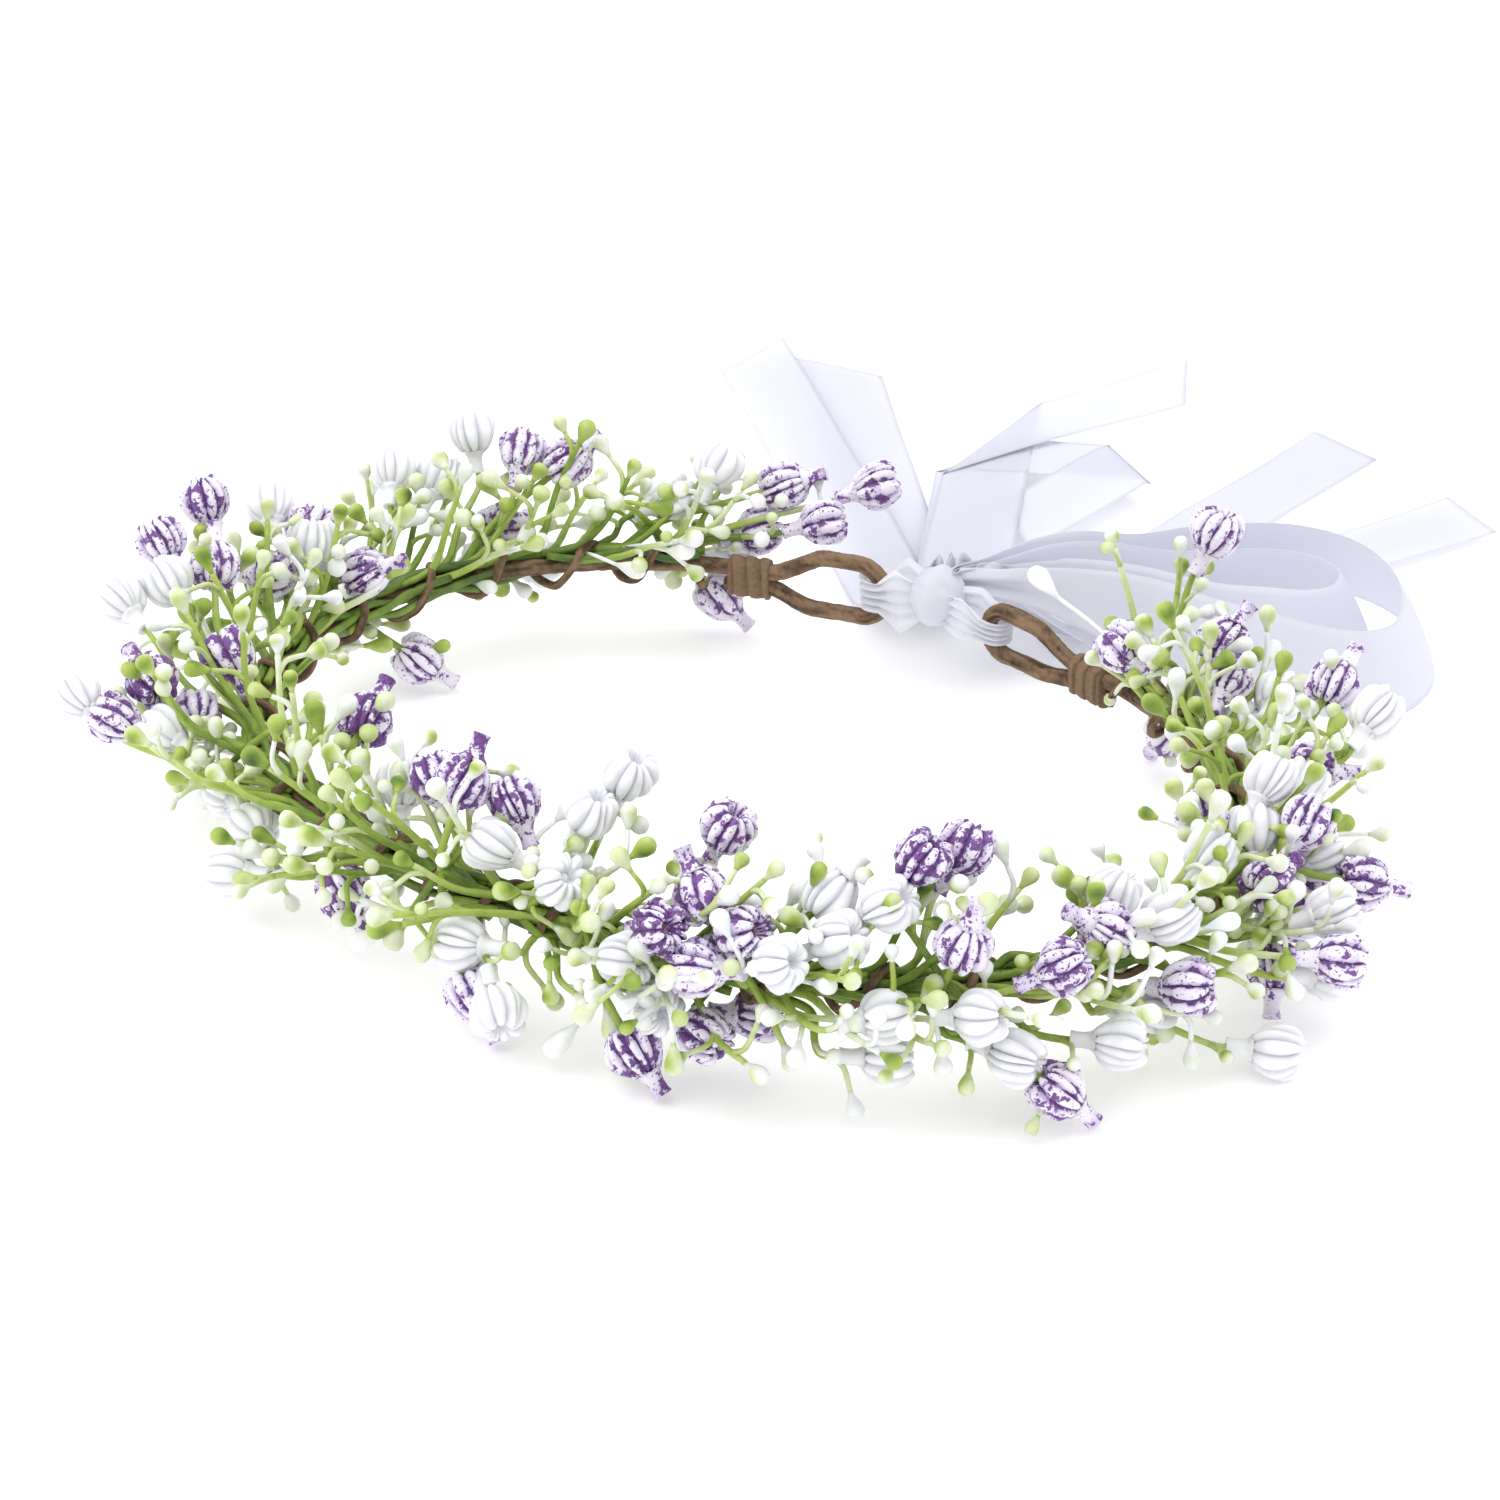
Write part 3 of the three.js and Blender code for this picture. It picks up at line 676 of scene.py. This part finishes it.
def head_from(node):
    """Centre and axis of a head, from its solid: the neck's mouth is its farthest end."""
    corners = np.array([v.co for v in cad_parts[node].data.vertices]) / MM
    corners = np.unique(corners.round(4), axis=0)
    middle = corners.mean(0)
    far = corners[np.argsort(-np.linalg.norm(corners - middle, axis=1))[:16]]
    mouth = far.mean(0)
    axis = unit(middle - mouth)
    return mouth + axis * GLOBE_TO_MOUTH, axis


HEADS = [head_from("flower_%02d" % (i + 1)) for i in range(2 * SPRAYS)]

# ---- stems, twigs and buds ----
BUD_HEIGHT = 2.8
BUD_LINE = [
    (0.0, 0.0), (0.26, 0.15), (0.42, 0.6), (0.72, 1.15), (0.95, 1.65), (1.0, 2.05), (0.85, 2.45), (0.5, 2.72),
    (0.0, BUD_HEIGHT),
]
OFF_TABLE = 0.3
bud_points, bud_faces = lathe(BUD_LINE, 10)


def bud(shape, base, direction, radius, pale, rng):
    """A drop-shaped bud: a green eye in a whitish skin, or green all over."""
    points = bud_points * np.array([radius, radius, radius * rng.uniform(0.9, 1.35)])
    points = points @ facing(direction, rng.uniform(0, FULL_TURN)) + base
    rise = bud_points[:, 2] / BUD_HEIGHT
    eye = np.exp(-(((rise - 0.6) / 0.28) ** 2)) * np.clip(0.45 + 0.8 * bud_points[:, 0], 0, 1)
    skin = 0.3 + 0.35 * pale if rng.random() < 0.2 else 0.68 + 0.35 * pale
    shape.add(
        points + UP * max(0.0, OFF_TABLE - points[:, 2].min()),
        bud_faces,
        pale=np.clip(skin - eye * rng.uniform(0.1, 0.55) - 0.15 * (rise < 0.2), 0, 1.1),
        tone=rng.random(),
    )


def shoot(shape, start, heading, rng, length, pale):
    """A short side shoot with a bud on its end."""
    swing = np.array([rng.gauss(0, 1), rng.gauss(0, 1), rng.gauss(0.25, 0.8)])
    swing = unit(swing - heading * np.dot(swing, heading))
    away = unit(heading * rng.uniform(0.35, 0.9) + swing)
    middle = start + (heading * 0.35 + away * 0.6) * length * 0.5
    end = start + away * length
    if end[2] < 3.5:
        end[2] = 3.5 + rng.uniform(0, 1)
    radius = rng.uniform(1.35, 1.95)
    line = flow([start, middle, end], 1.2)
    paler = np.linspace(pale, pale + 0.15, len(line))
    shape.tube(line, np.linspace(0.62, 0.5, len(line)), 6, pale=paler, tone=rng.random())
    tip = unit(end - middle)
    bud(shape, end - tip * 0.3, tip, radius, pale + rng.uniform(-0.05, 0.2), rng)


def shoots_along(shape, line, places, rng, pale, reach=(3.0, 7.5)):
    """Shoots at these shares of a stem's length; pale gives how white each is from its share."""
    heading = frames(line)[0]
    for s in places:
        i = min(int(s * len(line)), len(line) - 2)
        shoot(shape, line[i], heading[i], rng, rng.uniform(*reach), pale(s))


def stem(shape, line, thick, thin, pales, rng):
    """A stem that thins and pales along its length, with a few knuckles."""
    steps = np.linspace(0, 1, len(line))
    radius = thick + (thin - thick) * steps
    knuckles = 1 + 0.1 * np.maximum(0, np.sin(steps * len(line) * 0.5 + rng.uniform(0, 6))) ** 4
    pale = pales[0] + (pales[1] - pales[0]) * steps**1.3
    shape.tube(line, radius * knuckles, pale=pale, tone=rng.random())


IN_NECK = 1.5  # how far a stem's end goes into a head's neck


def solid_stems(shape, k, rng):
    """The stem, twigs and two buds that the spray's solid has."""
    deg, lean = spray_degrees(k), lean_of(k)
    line = [(-8, LAY_R), (-5, LAY_R), (-2.5, LAY_R + GAP), (0, binding_radius), (3, FORK_OUT)]
    points = [around(deg + lean * degrees_for(mm, deg), radius, EXIT_TURN) for mm, radius in line]
    fork = points[-1]
    stem(shape, flow(points), 1.05, 0.95, (0.12, 0.3), rng)
    for centre, axis in HEADS[2 * k : 2 * k + 2]:
        length = np.linalg.norm(fork - centre)
        before = max(length / 2, GLOBE_TO_MOUTH + 2 * GAP)
        middle = centre + (fork - centre) * min(before / length, 0.9)
        lead = unit(middle * np.array([1, 1, 0]))
        middle = middle + lead * length * 0.1 - UP * length * 0.05
        neck_end = centre - axis * (GLOBE_TO_MOUTH - IN_NECK)
        twig = flow([fork, (fork + middle) / 2 + lead * 0.5, middle, neck_end])
        white = rng.uniform(0.35, 0.75)
        stem(shape, twig, 0.85, 0.7, (0.28, white), rng)
        shoots_along(shape, twig, [0.74], rng, lambda s: 0.25 + 0.5 * s)
    for ahead, out, up in BUD_PLACES:
        end = place(deg + lean * ahead, out, up)
        away = unit(end - fork)
        twig = flow([fork, (fork + end) / 2 + UP * 0.8, end - away * BUD_R])
        stem(shape, twig, 0.75, 0.6, (0.28, 0.5), rng)
        bud(shape, end - away * (BUD_R + 1.2), away, BUD_R, 0.45, rng)
        shoots_along(shape, twig, [0.6], rng, lambda s: 0.3 + 0.4 * s)


def rooted(root, turn, lean, spots):
    """The foot of a stem that lies along the wire and rises off it: mm before the root, mm from the wire."""
    return [around(root - lean * degrees_for(mm, root), radius, turn) for mm, radius in spots]


def stem_to_head(shape, rng, centre, axis, root, turn, lean):
    """The stem of a head that has no solid of its own."""
    foot, lie, rise = rooted(root, turn, lean, [(9, 2.9), (3.5, 3.3), (0, 5.2)])
    neck_end = centre - axis * (GLOBE_TO_MOUTH - IN_NECK)
    before = centre - axis * (GLOBE_TO_MOUTH + 3)
    fork = rise * 0.55 + before * 0.45 + outward(root) * rng.uniform(0, 2) - UP * rng.uniform(0, 1.5)
    line = flow([foot, lie, rise, fork, before, neck_end])
    white = rng.uniform(0.3, 0.85)
    stem(shape, line, 0.95, 0.62, (0.2, white), rng)
    places = [0.6 + rng.uniform(-0.08, 0.08), 0.85]
    shoots_along(shape, line, places, rng, lambda s: 0.1 + 0.75 * s * white + 0.2)


def bud_stem(shape, rng, root, turn, reach, ahead, lean):
    """A stem with buds only, branching alternately."""
    foot, lie, rise = rooted(root, turn, lean, [(10, 2.8), (4, 3.2), (0, 5.4)])
    end = around(root + lean * degrees_for(ahead, root), reach, turn + rng.uniform(-12, 12))
    end[2] = max(end[2], 4.0)
    fork = rise * 0.5 + end * 0.5 + outward(root) * rng.uniform(-1, 2.5) - UP * rng.uniform(-0.5, 2)
    fork[2] = max(fork[2], 3.0)
    line = flow([foot, lie, rise, fork, end])
    white = rng.choice([0.4, 0.55, 0.75, 0.95])
    stem(shape, line, 0.9, 0.58, (0.22, white), rng)
    heading = unit(line[-1] - line[-3])
    bud(shape, line[-1] - heading * 0.3, heading, rng.uniform(1.5, 2.1), white * 0.8, rng)
    places = [0.88, 0.7, 0.55][: rng.randint(1, 3)]
    shoots_along(shape, line, places, rng, lambda s: 0.12 + white * s, reach=(4.5, 9.5))


def spread_out(fixed, moving):
    """Moves heads apart until no two press into each other, and off the wire and the table."""
    hoop = np.array([place(d) for d in np.arange(HOOP_START, HOOP_END, 1.5)])
    moving, fixed = np.array(moving), np.array(fixed)
    room, hoop_room, rounds = 2 * FLOWER_R * 0.95, 9, 60
    for _ in range(rounds):
        everything = np.vstack([fixed, moving])
        shift = np.zeros_like(moving)
        for i, centre in enumerate(moving):
            gap = centre - everything
            distance = np.linalg.norm(gap, axis=1)
            close = (distance < room) & (distance > 1e-6)
            for g, d in zip(gap[close], distance[close]):
                shift[i] += g / d * (room - d) * 0.35
            near = centre - hoop
            d = np.linalg.norm(near, axis=1)
            j = d.argmin()
            if d[j] < hoop_room:
                shift[i] += near[j] / d[j] * (hoop_room - d[j]) * 0.4
        moving = moving + shift
        moving[:, 2] = np.maximum(moving[:, 2], FLOWER_R + 0.1)
    return moving


more = [(deg, out, up, MORE_DYE_SHARE * dye) for deg, out, up, dye in MORE_PURPLE]
more += [(*spot, None) for spot in MORE_WHITE]
for i in range(FILL_COUNT):
    deg = SPRAYS_START + (SPRAYS_END - SPRAYS_START) * (i + 0.6) / FILL_COUNT
    more.append((deg % 360, *FILL[i % len(FILL)], None))
centres = spread_out([c for c, _ in HEADS], [place(d, o, u) for d, o, u, _ in more])

head_shapes = {}
spray_shapes = [Shape() for _ in range(SPRAYS)]
for n, ((deg, out, up, dye), centre) in enumerate(zip(more, centres)):
    rng = random.Random(1000 + n)
    # Degrees run on past 360 to the hoop's right end; a head may hang a little before its left one.
    deg = deg if deg >= HOOP_START - 16 else deg + 360
    lean = -1 if deg < PARTING else 1
    root = between(deg - lean * rng.uniform(6, 11), SPRAYS_START + 4, SPRAYS_END - 4)
    k = min(int((root - SPRAYS_START) / PITCH), SPRAYS - 1)
    turn = math.degrees(math.atan2(centre[2] - HOOP_Z, np.dot(centre - place(root), outward(root))))
    foot = around(root, 6, turn)
    astray = np.array([rng.gauss(0, 0.22), rng.gauss(0, 0.22), rng.uniform(-0.1, 0.35)])
    axis = unit(unit(centre - foot) + astray)
    if centre[2] < 9:
        axis = unit(axis * np.array([1, 1, 0.15]))
    kind = "white" if dye is None else "purple"
    shape = head_shapes.setdefault((kind, k), Shape())
    flower_head(shape, centre, axis, rng, dye=dye or 0.0, radius=FLOWER_R * rng.uniform(0.94, 1.0))
    stem_to_head(spray_shapes[k], rng, centre, axis, root, turn, lean)

for k in range(SPRAYS):
    rng = random.Random(200 + k)
    solid_stems(spray_shapes[k], k, rng)
    lean = lean_of(k)
    for n, usual_turn in enumerate(BUD_STEM_TURNS):
        root = spray_degrees(k) + (n / len(BUD_STEM_TURNS) - 0.45) * PITCH + rng.uniform(-1, 1)
        root = between(root, SPRAYS_START + 3, SPRAYS_END - 3)
        turn = usual_turn + rng.uniform(-14, 14)
        # Long above the wire, shorter below it, and shortest inside the hoop.
        reach = rng.uniform(16, 29) if turn > 10 else rng.uniform(13, 21)
        if turn > 105:
            reach = rng.uniform(11, 16)
        bud_stem(spray_shapes[k], rng, root, turn, reach, rng.uniform(5, 14), lean)
    for n in range(LYING_STEMS):
        start = spray_degrees(k) + rng.uniform(-0.5, 0.5) * PITCH
        turn = rng.uniform(-60, 200)
        start = between(start, SPRAYS_START + 1, SPRAYS_END - 1 - PITCH)
        spots = [start + step * PITCH / 5 for step in range(6)]
        lying = [around(d, 3.2 + 0.5 * math.sin(d * 2 + n), turn + 18 * math.sin(d)) for d in spots]
        stem(spray_shapes[k], flow(lying, 1.4), 0.9, 0.85, (0.1, 0.3), rng)
    number = "%02d" % (k + 1)
    spray_shapes[k].piece("spray_stems_" + number, GREEN, "green_plastic", stands_for=["spray_" + number])

looks = {"white": (WHITE, "white_plastic"), "purple": (DYED, "purple_plastic")}
for (kind, k), shape in sorted(head_shapes.items()):
    shape.piece("more_heads_%s_%02d" % (kind, k + 1), *looks[kind])

for i, (centre, axis) in enumerate(HEADS, 1):
    rng = random.Random(i)
    shape = Shape()
    flower_head(shape, centre, axis, rng, dye=DEEP_DYE.get(i, rng.choice(USUAL_DYE)))
    look = looks["white" if i == WHITE_FLOWER else "purple"]
    shape.piece("flower_head_%02d" % i, *look, stands_for=["flower_%02d" % i])

# ---- pearl stamens ----
PEARL_LINE = [
    (0.0, -0.56), (0.16, -0.52), (0.34, -0.36), (0.62, -0.18), (0.88, 0.02), (1.0, 0.18), (0.92, 0.32),
    (0.62, 0.44), (0.0, 0.5),
]


def stamen(shape, start, centre, rng, radius=STAMEN_R, length=STAMEN_LENGTH):
    """A long pearl on a thread that sags a little."""
    axis = unit(centre - start)
    base = centre - axis * length * 0.5
    points, faces = lathe(spline(PEARL_LINE, 17), 14)
    points[:, 2] = np.clip(points[:, 2], -0.56, 0.52)
    shape.add(points * np.array([radius, radius, length]) @ facing(axis) + centre, faces)
    sag = (start + base) / 2 + np.array([rng.uniform(-1, 1), rng.uniform(-1, 1), 1.0])
    shape.tube(flow([start, sag, base, centre]), 0.42, 7)


def stamen_root(root, up):
    return around(root, LAY_R, -45 if up < 0 else 45)


for i, (root, deg, out, up) in enumerate(STAMENS, 1):
    shape = Shape()
    stamen(shape, stamen_root(root, up), place(deg, out, up), random.Random(i))
    shape.piece("pearl_stamen_%d" % i, PEARL, "white_plastic", stands_for=["stamen_%d" % i])
loose = Shape()
for root, deg, out, up, size in LOOSE_STAMENS:
    stamen(loose, stamen_root(root, up), place(deg, out, up), random.Random(deg), size, size * 4)
loose.piece("more_stamens", PEARL, "white_plastic")


# ---- ribbon ----
CLOTH_T = 0.12
ACROSS = 13


def cloth(name, rows, body, node, selvedge=1.0, thick=True):
    """A woven strip through rows of points; span runs across it and run along it."""
    rows = np.array(rows)
    n, m = rows.shape[:2]
    run = run_along(rows[:, m // 2])
    span = np.tile(np.linspace(-1, 1, m) * selvedge, n)
    shape = Shape()
    shape.add(rows, grid_faces(n, m, closed=False), span=span, run=np.repeat(run, m))
    obj = shape.piece(name, SATIN, "white_ribbon", body=body, stands_for=[node], closed=False)
    if thick:
        thickness = obj.modifiers.new("thickness", "SOLIDIFY")
        thickness.thickness = CLOTH_T * MM
        thickness.offset = 0


def half_width(away, near, far):
    """Half the ribbon's width: gathered by the knot, and full where it has spread."""
    return (GATHERED + (RIBBON_WIDTH - GATHERED) * smooth(away, near, far)) / 2


def polar(r, deg):
    a = math.radians(deg)
    return np.array([r * math.cos(a), r * math.sin(a), 0])


def heading_of(leg):
    start, end = leg
    return unit((end - start) * np.array([1, 1, 0]))


# Tails: level in the pile, corners as (distance from the fan, degrees), how far the cut end slants.
TAILS = [
    (3, [(182, 135)], -18),
    (1, [(175, 128.5)], 16),
    (5.9, [(121, 114.5), (165, 99)], 16),
    (4.8, [(113, 115.5), (117, 98), (74, 107)], 18),
    (0, [(164, 84)], 4),
    (2, [(152, 66.5)], 3),
]
FOLD_RISE = 0.55
LOWEST = 0.15


def tail_rows(level, corners, slant, seed):
    """Rows of a laid end: it falls from the fan, lies in waves, and folds over flat at its corners."""
    spots = [FAN + polar(*corner) for corner in corners]
    legs = list(zip([FAN] + spots[:-1], spots))
    evenly = np.linspace(-1, 1, ACROSS)
    half = RIBBON_WIDTH / 2
    phase = random.Random(seed).uniform(0, 6)
    rows, across_steps, begins = [], evenly, np.full(ACROSS, FAN_R - 3.0)
    for n, (start, end) in enumerate(legs):
        last = n + 1 == len(legs)
        ahead = heading_of((start, end))
        across = np.cross(UP, ahead)
        length = np.linalg.norm((end - start)[:2])
        if last:
            ends = length + across_steps * slant / 2
        else:
            back = heading_of(legs[n + 1])
            crease = unit(ahead - back)
            ends = length - across_steps * half * np.dot(across, crease) / np.dot(ahead, crease)
        steps = np.linspace(0, 1, max(8, int(length / 2.2)))
        for step in steps[min(n, 1) :]:
            t = begins + (ends - begins) * step
            away = np.linalg.norm((start + ahead * t.mean() - FAN)[:2])
            width = half_width(away, FAN_R, LANDING)
            flat = start + ahead * t[:, None] + across * (across_steps * width)[:, None]
            distance = np.hypot(flat[:, 0] - FAN[0], flat[:, 1] - FAN[1])
            fall = smooth(away, FAN_R, LANDING) + smooth(distance, FAN_R, LANDING)
            pleats = 1.6 * (1 - smooth(away, FAN_R, LANDING * 1.2)) * np.sin(across_steps * 8 + phase)
            wave = 0.35 * (1 + np.sin(t * 0.09 + phase + across_steps * 0.8))
            wave *= smooth(away, LANDING, LANDING + 30)
            lies_at = level * RIBBON_LEVEL + RIBBON_T / 2 + FOLD_RISE * n
            flat[:, 2] = np.maximum(FAN[2] * (1 - 0.5 * fall) + lies_at + pleats + wave, LOWEST)
            rows.append(flat)
        if not last:
            # Measured along the next leg, the same crease starts it, and may be the other way round.
            crease_points = start + ahead * ends[:, None] + across * (across_steps * half)[:, None]
            begins = (crease_points - end) @ back
            side = np.cross(UP, back)
            across_steps = evenly * np.sign(np.dot(crease_points[-1] - crease_points[0], side))
    return rows


for i, (level, corners, slant) in enumerate(TAILS, 1):
    rows = tail_rows(level, corners, slant, i)
    cloth("ribbon_end_%d" % i, rows, "ribbon_tails", "ribbon_tail_%d" % i)

# Loops: the degrees at which they leave and enter the knot, and their line from above, mm from the knot.
LOOPS = {
    "large": ((82, 43), [
        (4, 13), (8, 30), (13, 49), (23, 67), (42, 81), (60, 82), (75, 73), (85, 59), (88, 45), (83, 36),
        (72, 33), (56, 33), (38, 29), (22, 18), (11, 8),
    ]),
    "small": ((70, 56), [
        (7, 13), (14, 32), (26, 52), (42, 66), (56, 70), (67, 65), (70, 55), (65, 47), (53, 42), (34, 33),
        (20, 23), (10, 12),
    ]),
}
LOOP_Z = 2 * RIBBON_LEVEL + RIBBON_T + GAP + RIBBON_WIDTH / 2
LOOP_ROOT_Z = KNOT[2] + 3
ROOT_REACH = [2.5, KNOT_R + 0.6]


def loop_rows(leaves, enters, outline):
    """Rows of a loop that stands on its edge, leans in at its far end and is pleated at the knot."""
    plan = [polar(r, leaves)[:2] for r in ROOT_REACH] + outline
    plan += [polar(r, enters)[:2] for r in reversed(ROOT_REACH)]
    points = np.array([[KNOT[0] + x, KNOT[1] + y, 0.0] for x, y in plan])
    line = flow(points, 2.0)
    middle = points[3:-3].mean(0)
    heading = frames(line)[0]
    rows = []
    steps = np.linspace(-1, 1, ACROSS)
    for at, h in zip(line, heading):
        away = np.hypot(*(at - KNOT)[:2])
        width = half_width(away, KNOT_R, 1.15 * LANDING)
        z = LOOP_ROOT_Z + (LOOP_Z - LOOP_ROOT_Z) * smooth(away, KNOT_R, 1.5 * LANDING)
        sideways = unit(np.cross(h, UP))
        inward = sideways if np.dot(sideways, middle - at) > 0 else -sideways
        far = smooth(at[1] - KNOT[1], 25, 60)
        lean = math.radians(4 + 20 * far)
        rise = UP * math.cos(lean) + inward * math.sin(lean)
        pleats = 1.1 * (1 - smooth(away, KNOT_R, 0.8 * LANDING)) * np.sin(steps * 4.4)
        belly = 0.9 * (1 - steps**2) * smooth(away, 20, 60)
        centre = np.array([at[0], at[1], z])
        rows.append(centre + rise * (steps * width)[:, None] - inward * (belly + pleats)[:, None])
    return rows


for name, ((leaves, enters), outline) in LOOPS.items():
    rows = loop_rows(leaves, enters, outline)
    cloth("ribbon_loop_%s_cloth" % name, rows, "ribbon_loops", "ribbon_loop_" + name)


HITCH_ACROSS = 41
HITCH_BEND = -1.8


def hitch(name, eye, node, broad):
    """The ribbon goes through its eyelet and back to the knot, in pleats, broad part of the way."""
    ahead, rise, tip = eye["ahead"], eye["rise"], eye["tip"]
    side = np.cross(ahead, rise)
    offset = PAPER_R + 1.2
    to_knot = np.linalg.norm(tip - KNOT) - 2.0
    from_knot = [(to_knot, offset * 0.5), (to_knot * 0.5, offset), (0, offset)]
    bend = [polar(offset, a)[:2] + [HITCH_BEND, 0] for a in (90, 135, 180, 225, 270)]
    back = [(t, -s) for t, s in reversed(from_knot)]
    line = flow([tip + ahead * t + side * s for t, s in [*from_knot, *bend, *back]], 0.8)
    heading = frames(line)[0]
    steps = np.linspace(-1, 1, HITCH_ACROSS)
    inner = (eye["half"] - PAPER_R) * 0.85
    rows = []
    for at, h in zip(line, heading):
        out = unit(np.cross(rise, h))
        to_go = np.clip(np.dot(at - tip, ahead) / to_knot, 0, 1)
        width = np.interp(to_go, [0, 0.4, 1], [inner, broad, 3.4])
        pleats = np.interp(to_go, [0, 0.4, 1], [0.85, 0.45, 1.0]) * np.sin(steps * math.pi * 4.5)
        rows.append(at + rise * (steps * width)[:, None] + out * pleats[:, None])
    cloth(name, rows, "crown", node, selvedge=0.9, thick=False)


hitch("ribbon_through_left_eyelet", LEFT, "ribbon_hitch_left", 7.8)
hitch("ribbon_through_right_eyelet", RIGHT, "ribbon_hitch_right", 5.6)


def knot():
    """Tightly drawn ribbon: creased folds on both sides of one smooth, fuller turn."""
    rows, columns = 30, 40
    points, spans = [], []
    for i in range(rows):
        x = -math.cos(math.pi * (i / (rows - 1)))
        r = math.sqrt(max(0.0, 1 - x * x))
        fuller = 1 + 0.12 * math.exp(-((x / 0.28) ** 2))
        for j in range(columns):
            a = 2 * math.pi * j / columns
            fold = 0.07 * math.sin(7 * a + 3 * x) + 0.05 * math.sin(11 * a - 5 * x + 1)
            fold *= 1 - 0.7 * math.exp(-((x / 0.3) ** 2))
            radius = KNOT_R * r * (fuller + fold)
            points.append(KNOT + np.array([KNOT_R * x * 1.02, radius * math.cos(a), radius * math.sin(a)]))
            spans.append(math.sin(5 * a) * 0.8)
    shape = Shape()
    run = np.repeat(np.arange(rows) * 0.4, columns)
    shape.add(points, capped(rows, columns), span=spans, run=run)
    shape.piece("bow_knot", SATIN, "white_ribbon", stands_for=["ribbon_knot"])


knot()

# ---- floor, light and camera, in metres and watts ----
FLOOR_HALF = 6
floor_mesh = bpy.data.meshes.new("floor")
f = FLOOR_HALF
floor_mesh.from_pydata([(-f, -f, 0), (f, -f, 0), (f, f, 0), (-f, f, 0)], [], [(0, 1, 2, 3)])
floor = bpy.data.objects.new("floor", floor_mesh)
bpy.context.scene.collection.objects.link(floor)
paint = Finish("floor_paint", Base_Color=(0.95, 0.95, 0.955, 1), Roughness=0.7, Emission_Strength=0.18)
floor_mesh.materials.append(paint.material)

world = bpy.data.worlds.new("studio")
bpy.context.scene.world = world
world.use_nodes = True
world.node_tree.nodes["Background"].inputs[0].default_value = (1, 1, 1, 1)
world.node_tree.nodes["Background"].inputs[1].default_value = 1.0


def softbox(name, at, size, power):
    light = bpy.data.lights.new(name, "AREA")
    light.size = size
    light.energy = power
    obj = bpy.data.objects.new(name, light)
    obj.location = at
    to_middle = -obj.location
    obj.rotation_euler = to_middle.to_track_quat("-Z", "Y").to_euler()
    bpy.context.scene.collection.objects.link(obj)


softbox("overhead", (0.1, 0.15, 1.3), 1.6, 9)
softbox("key", (-0.9, -0.7, 1.1), 1.4, 8)

AZIMUTH, ELEVATION, DISTANCE = math.radians(32), math.radians(28), 0.95
camera_data = bpy.data.cameras.new("camera")
camera_data.angle = math.radians(18)
camera = bpy.data.objects.new("camera", camera_data)
aim = np.array([0, 0, HOOP_Z * MM])
level = math.cos(ELEVATION)
back = np.array([math.sin(AZIMUTH) * level, -math.cos(AZIMUTH) * level, math.sin(ELEVATION)])
camera.location = aim + back * DISTANCE
camera.rotation_euler = (math.pi / 2 - ELEVATION, 0, AZIMUTH)
bpy.context.scene.collection.objects.link(camera)
bpy.context.scene.camera = camera
bpy.context.scene.view_settings.view_transform = "Standard"
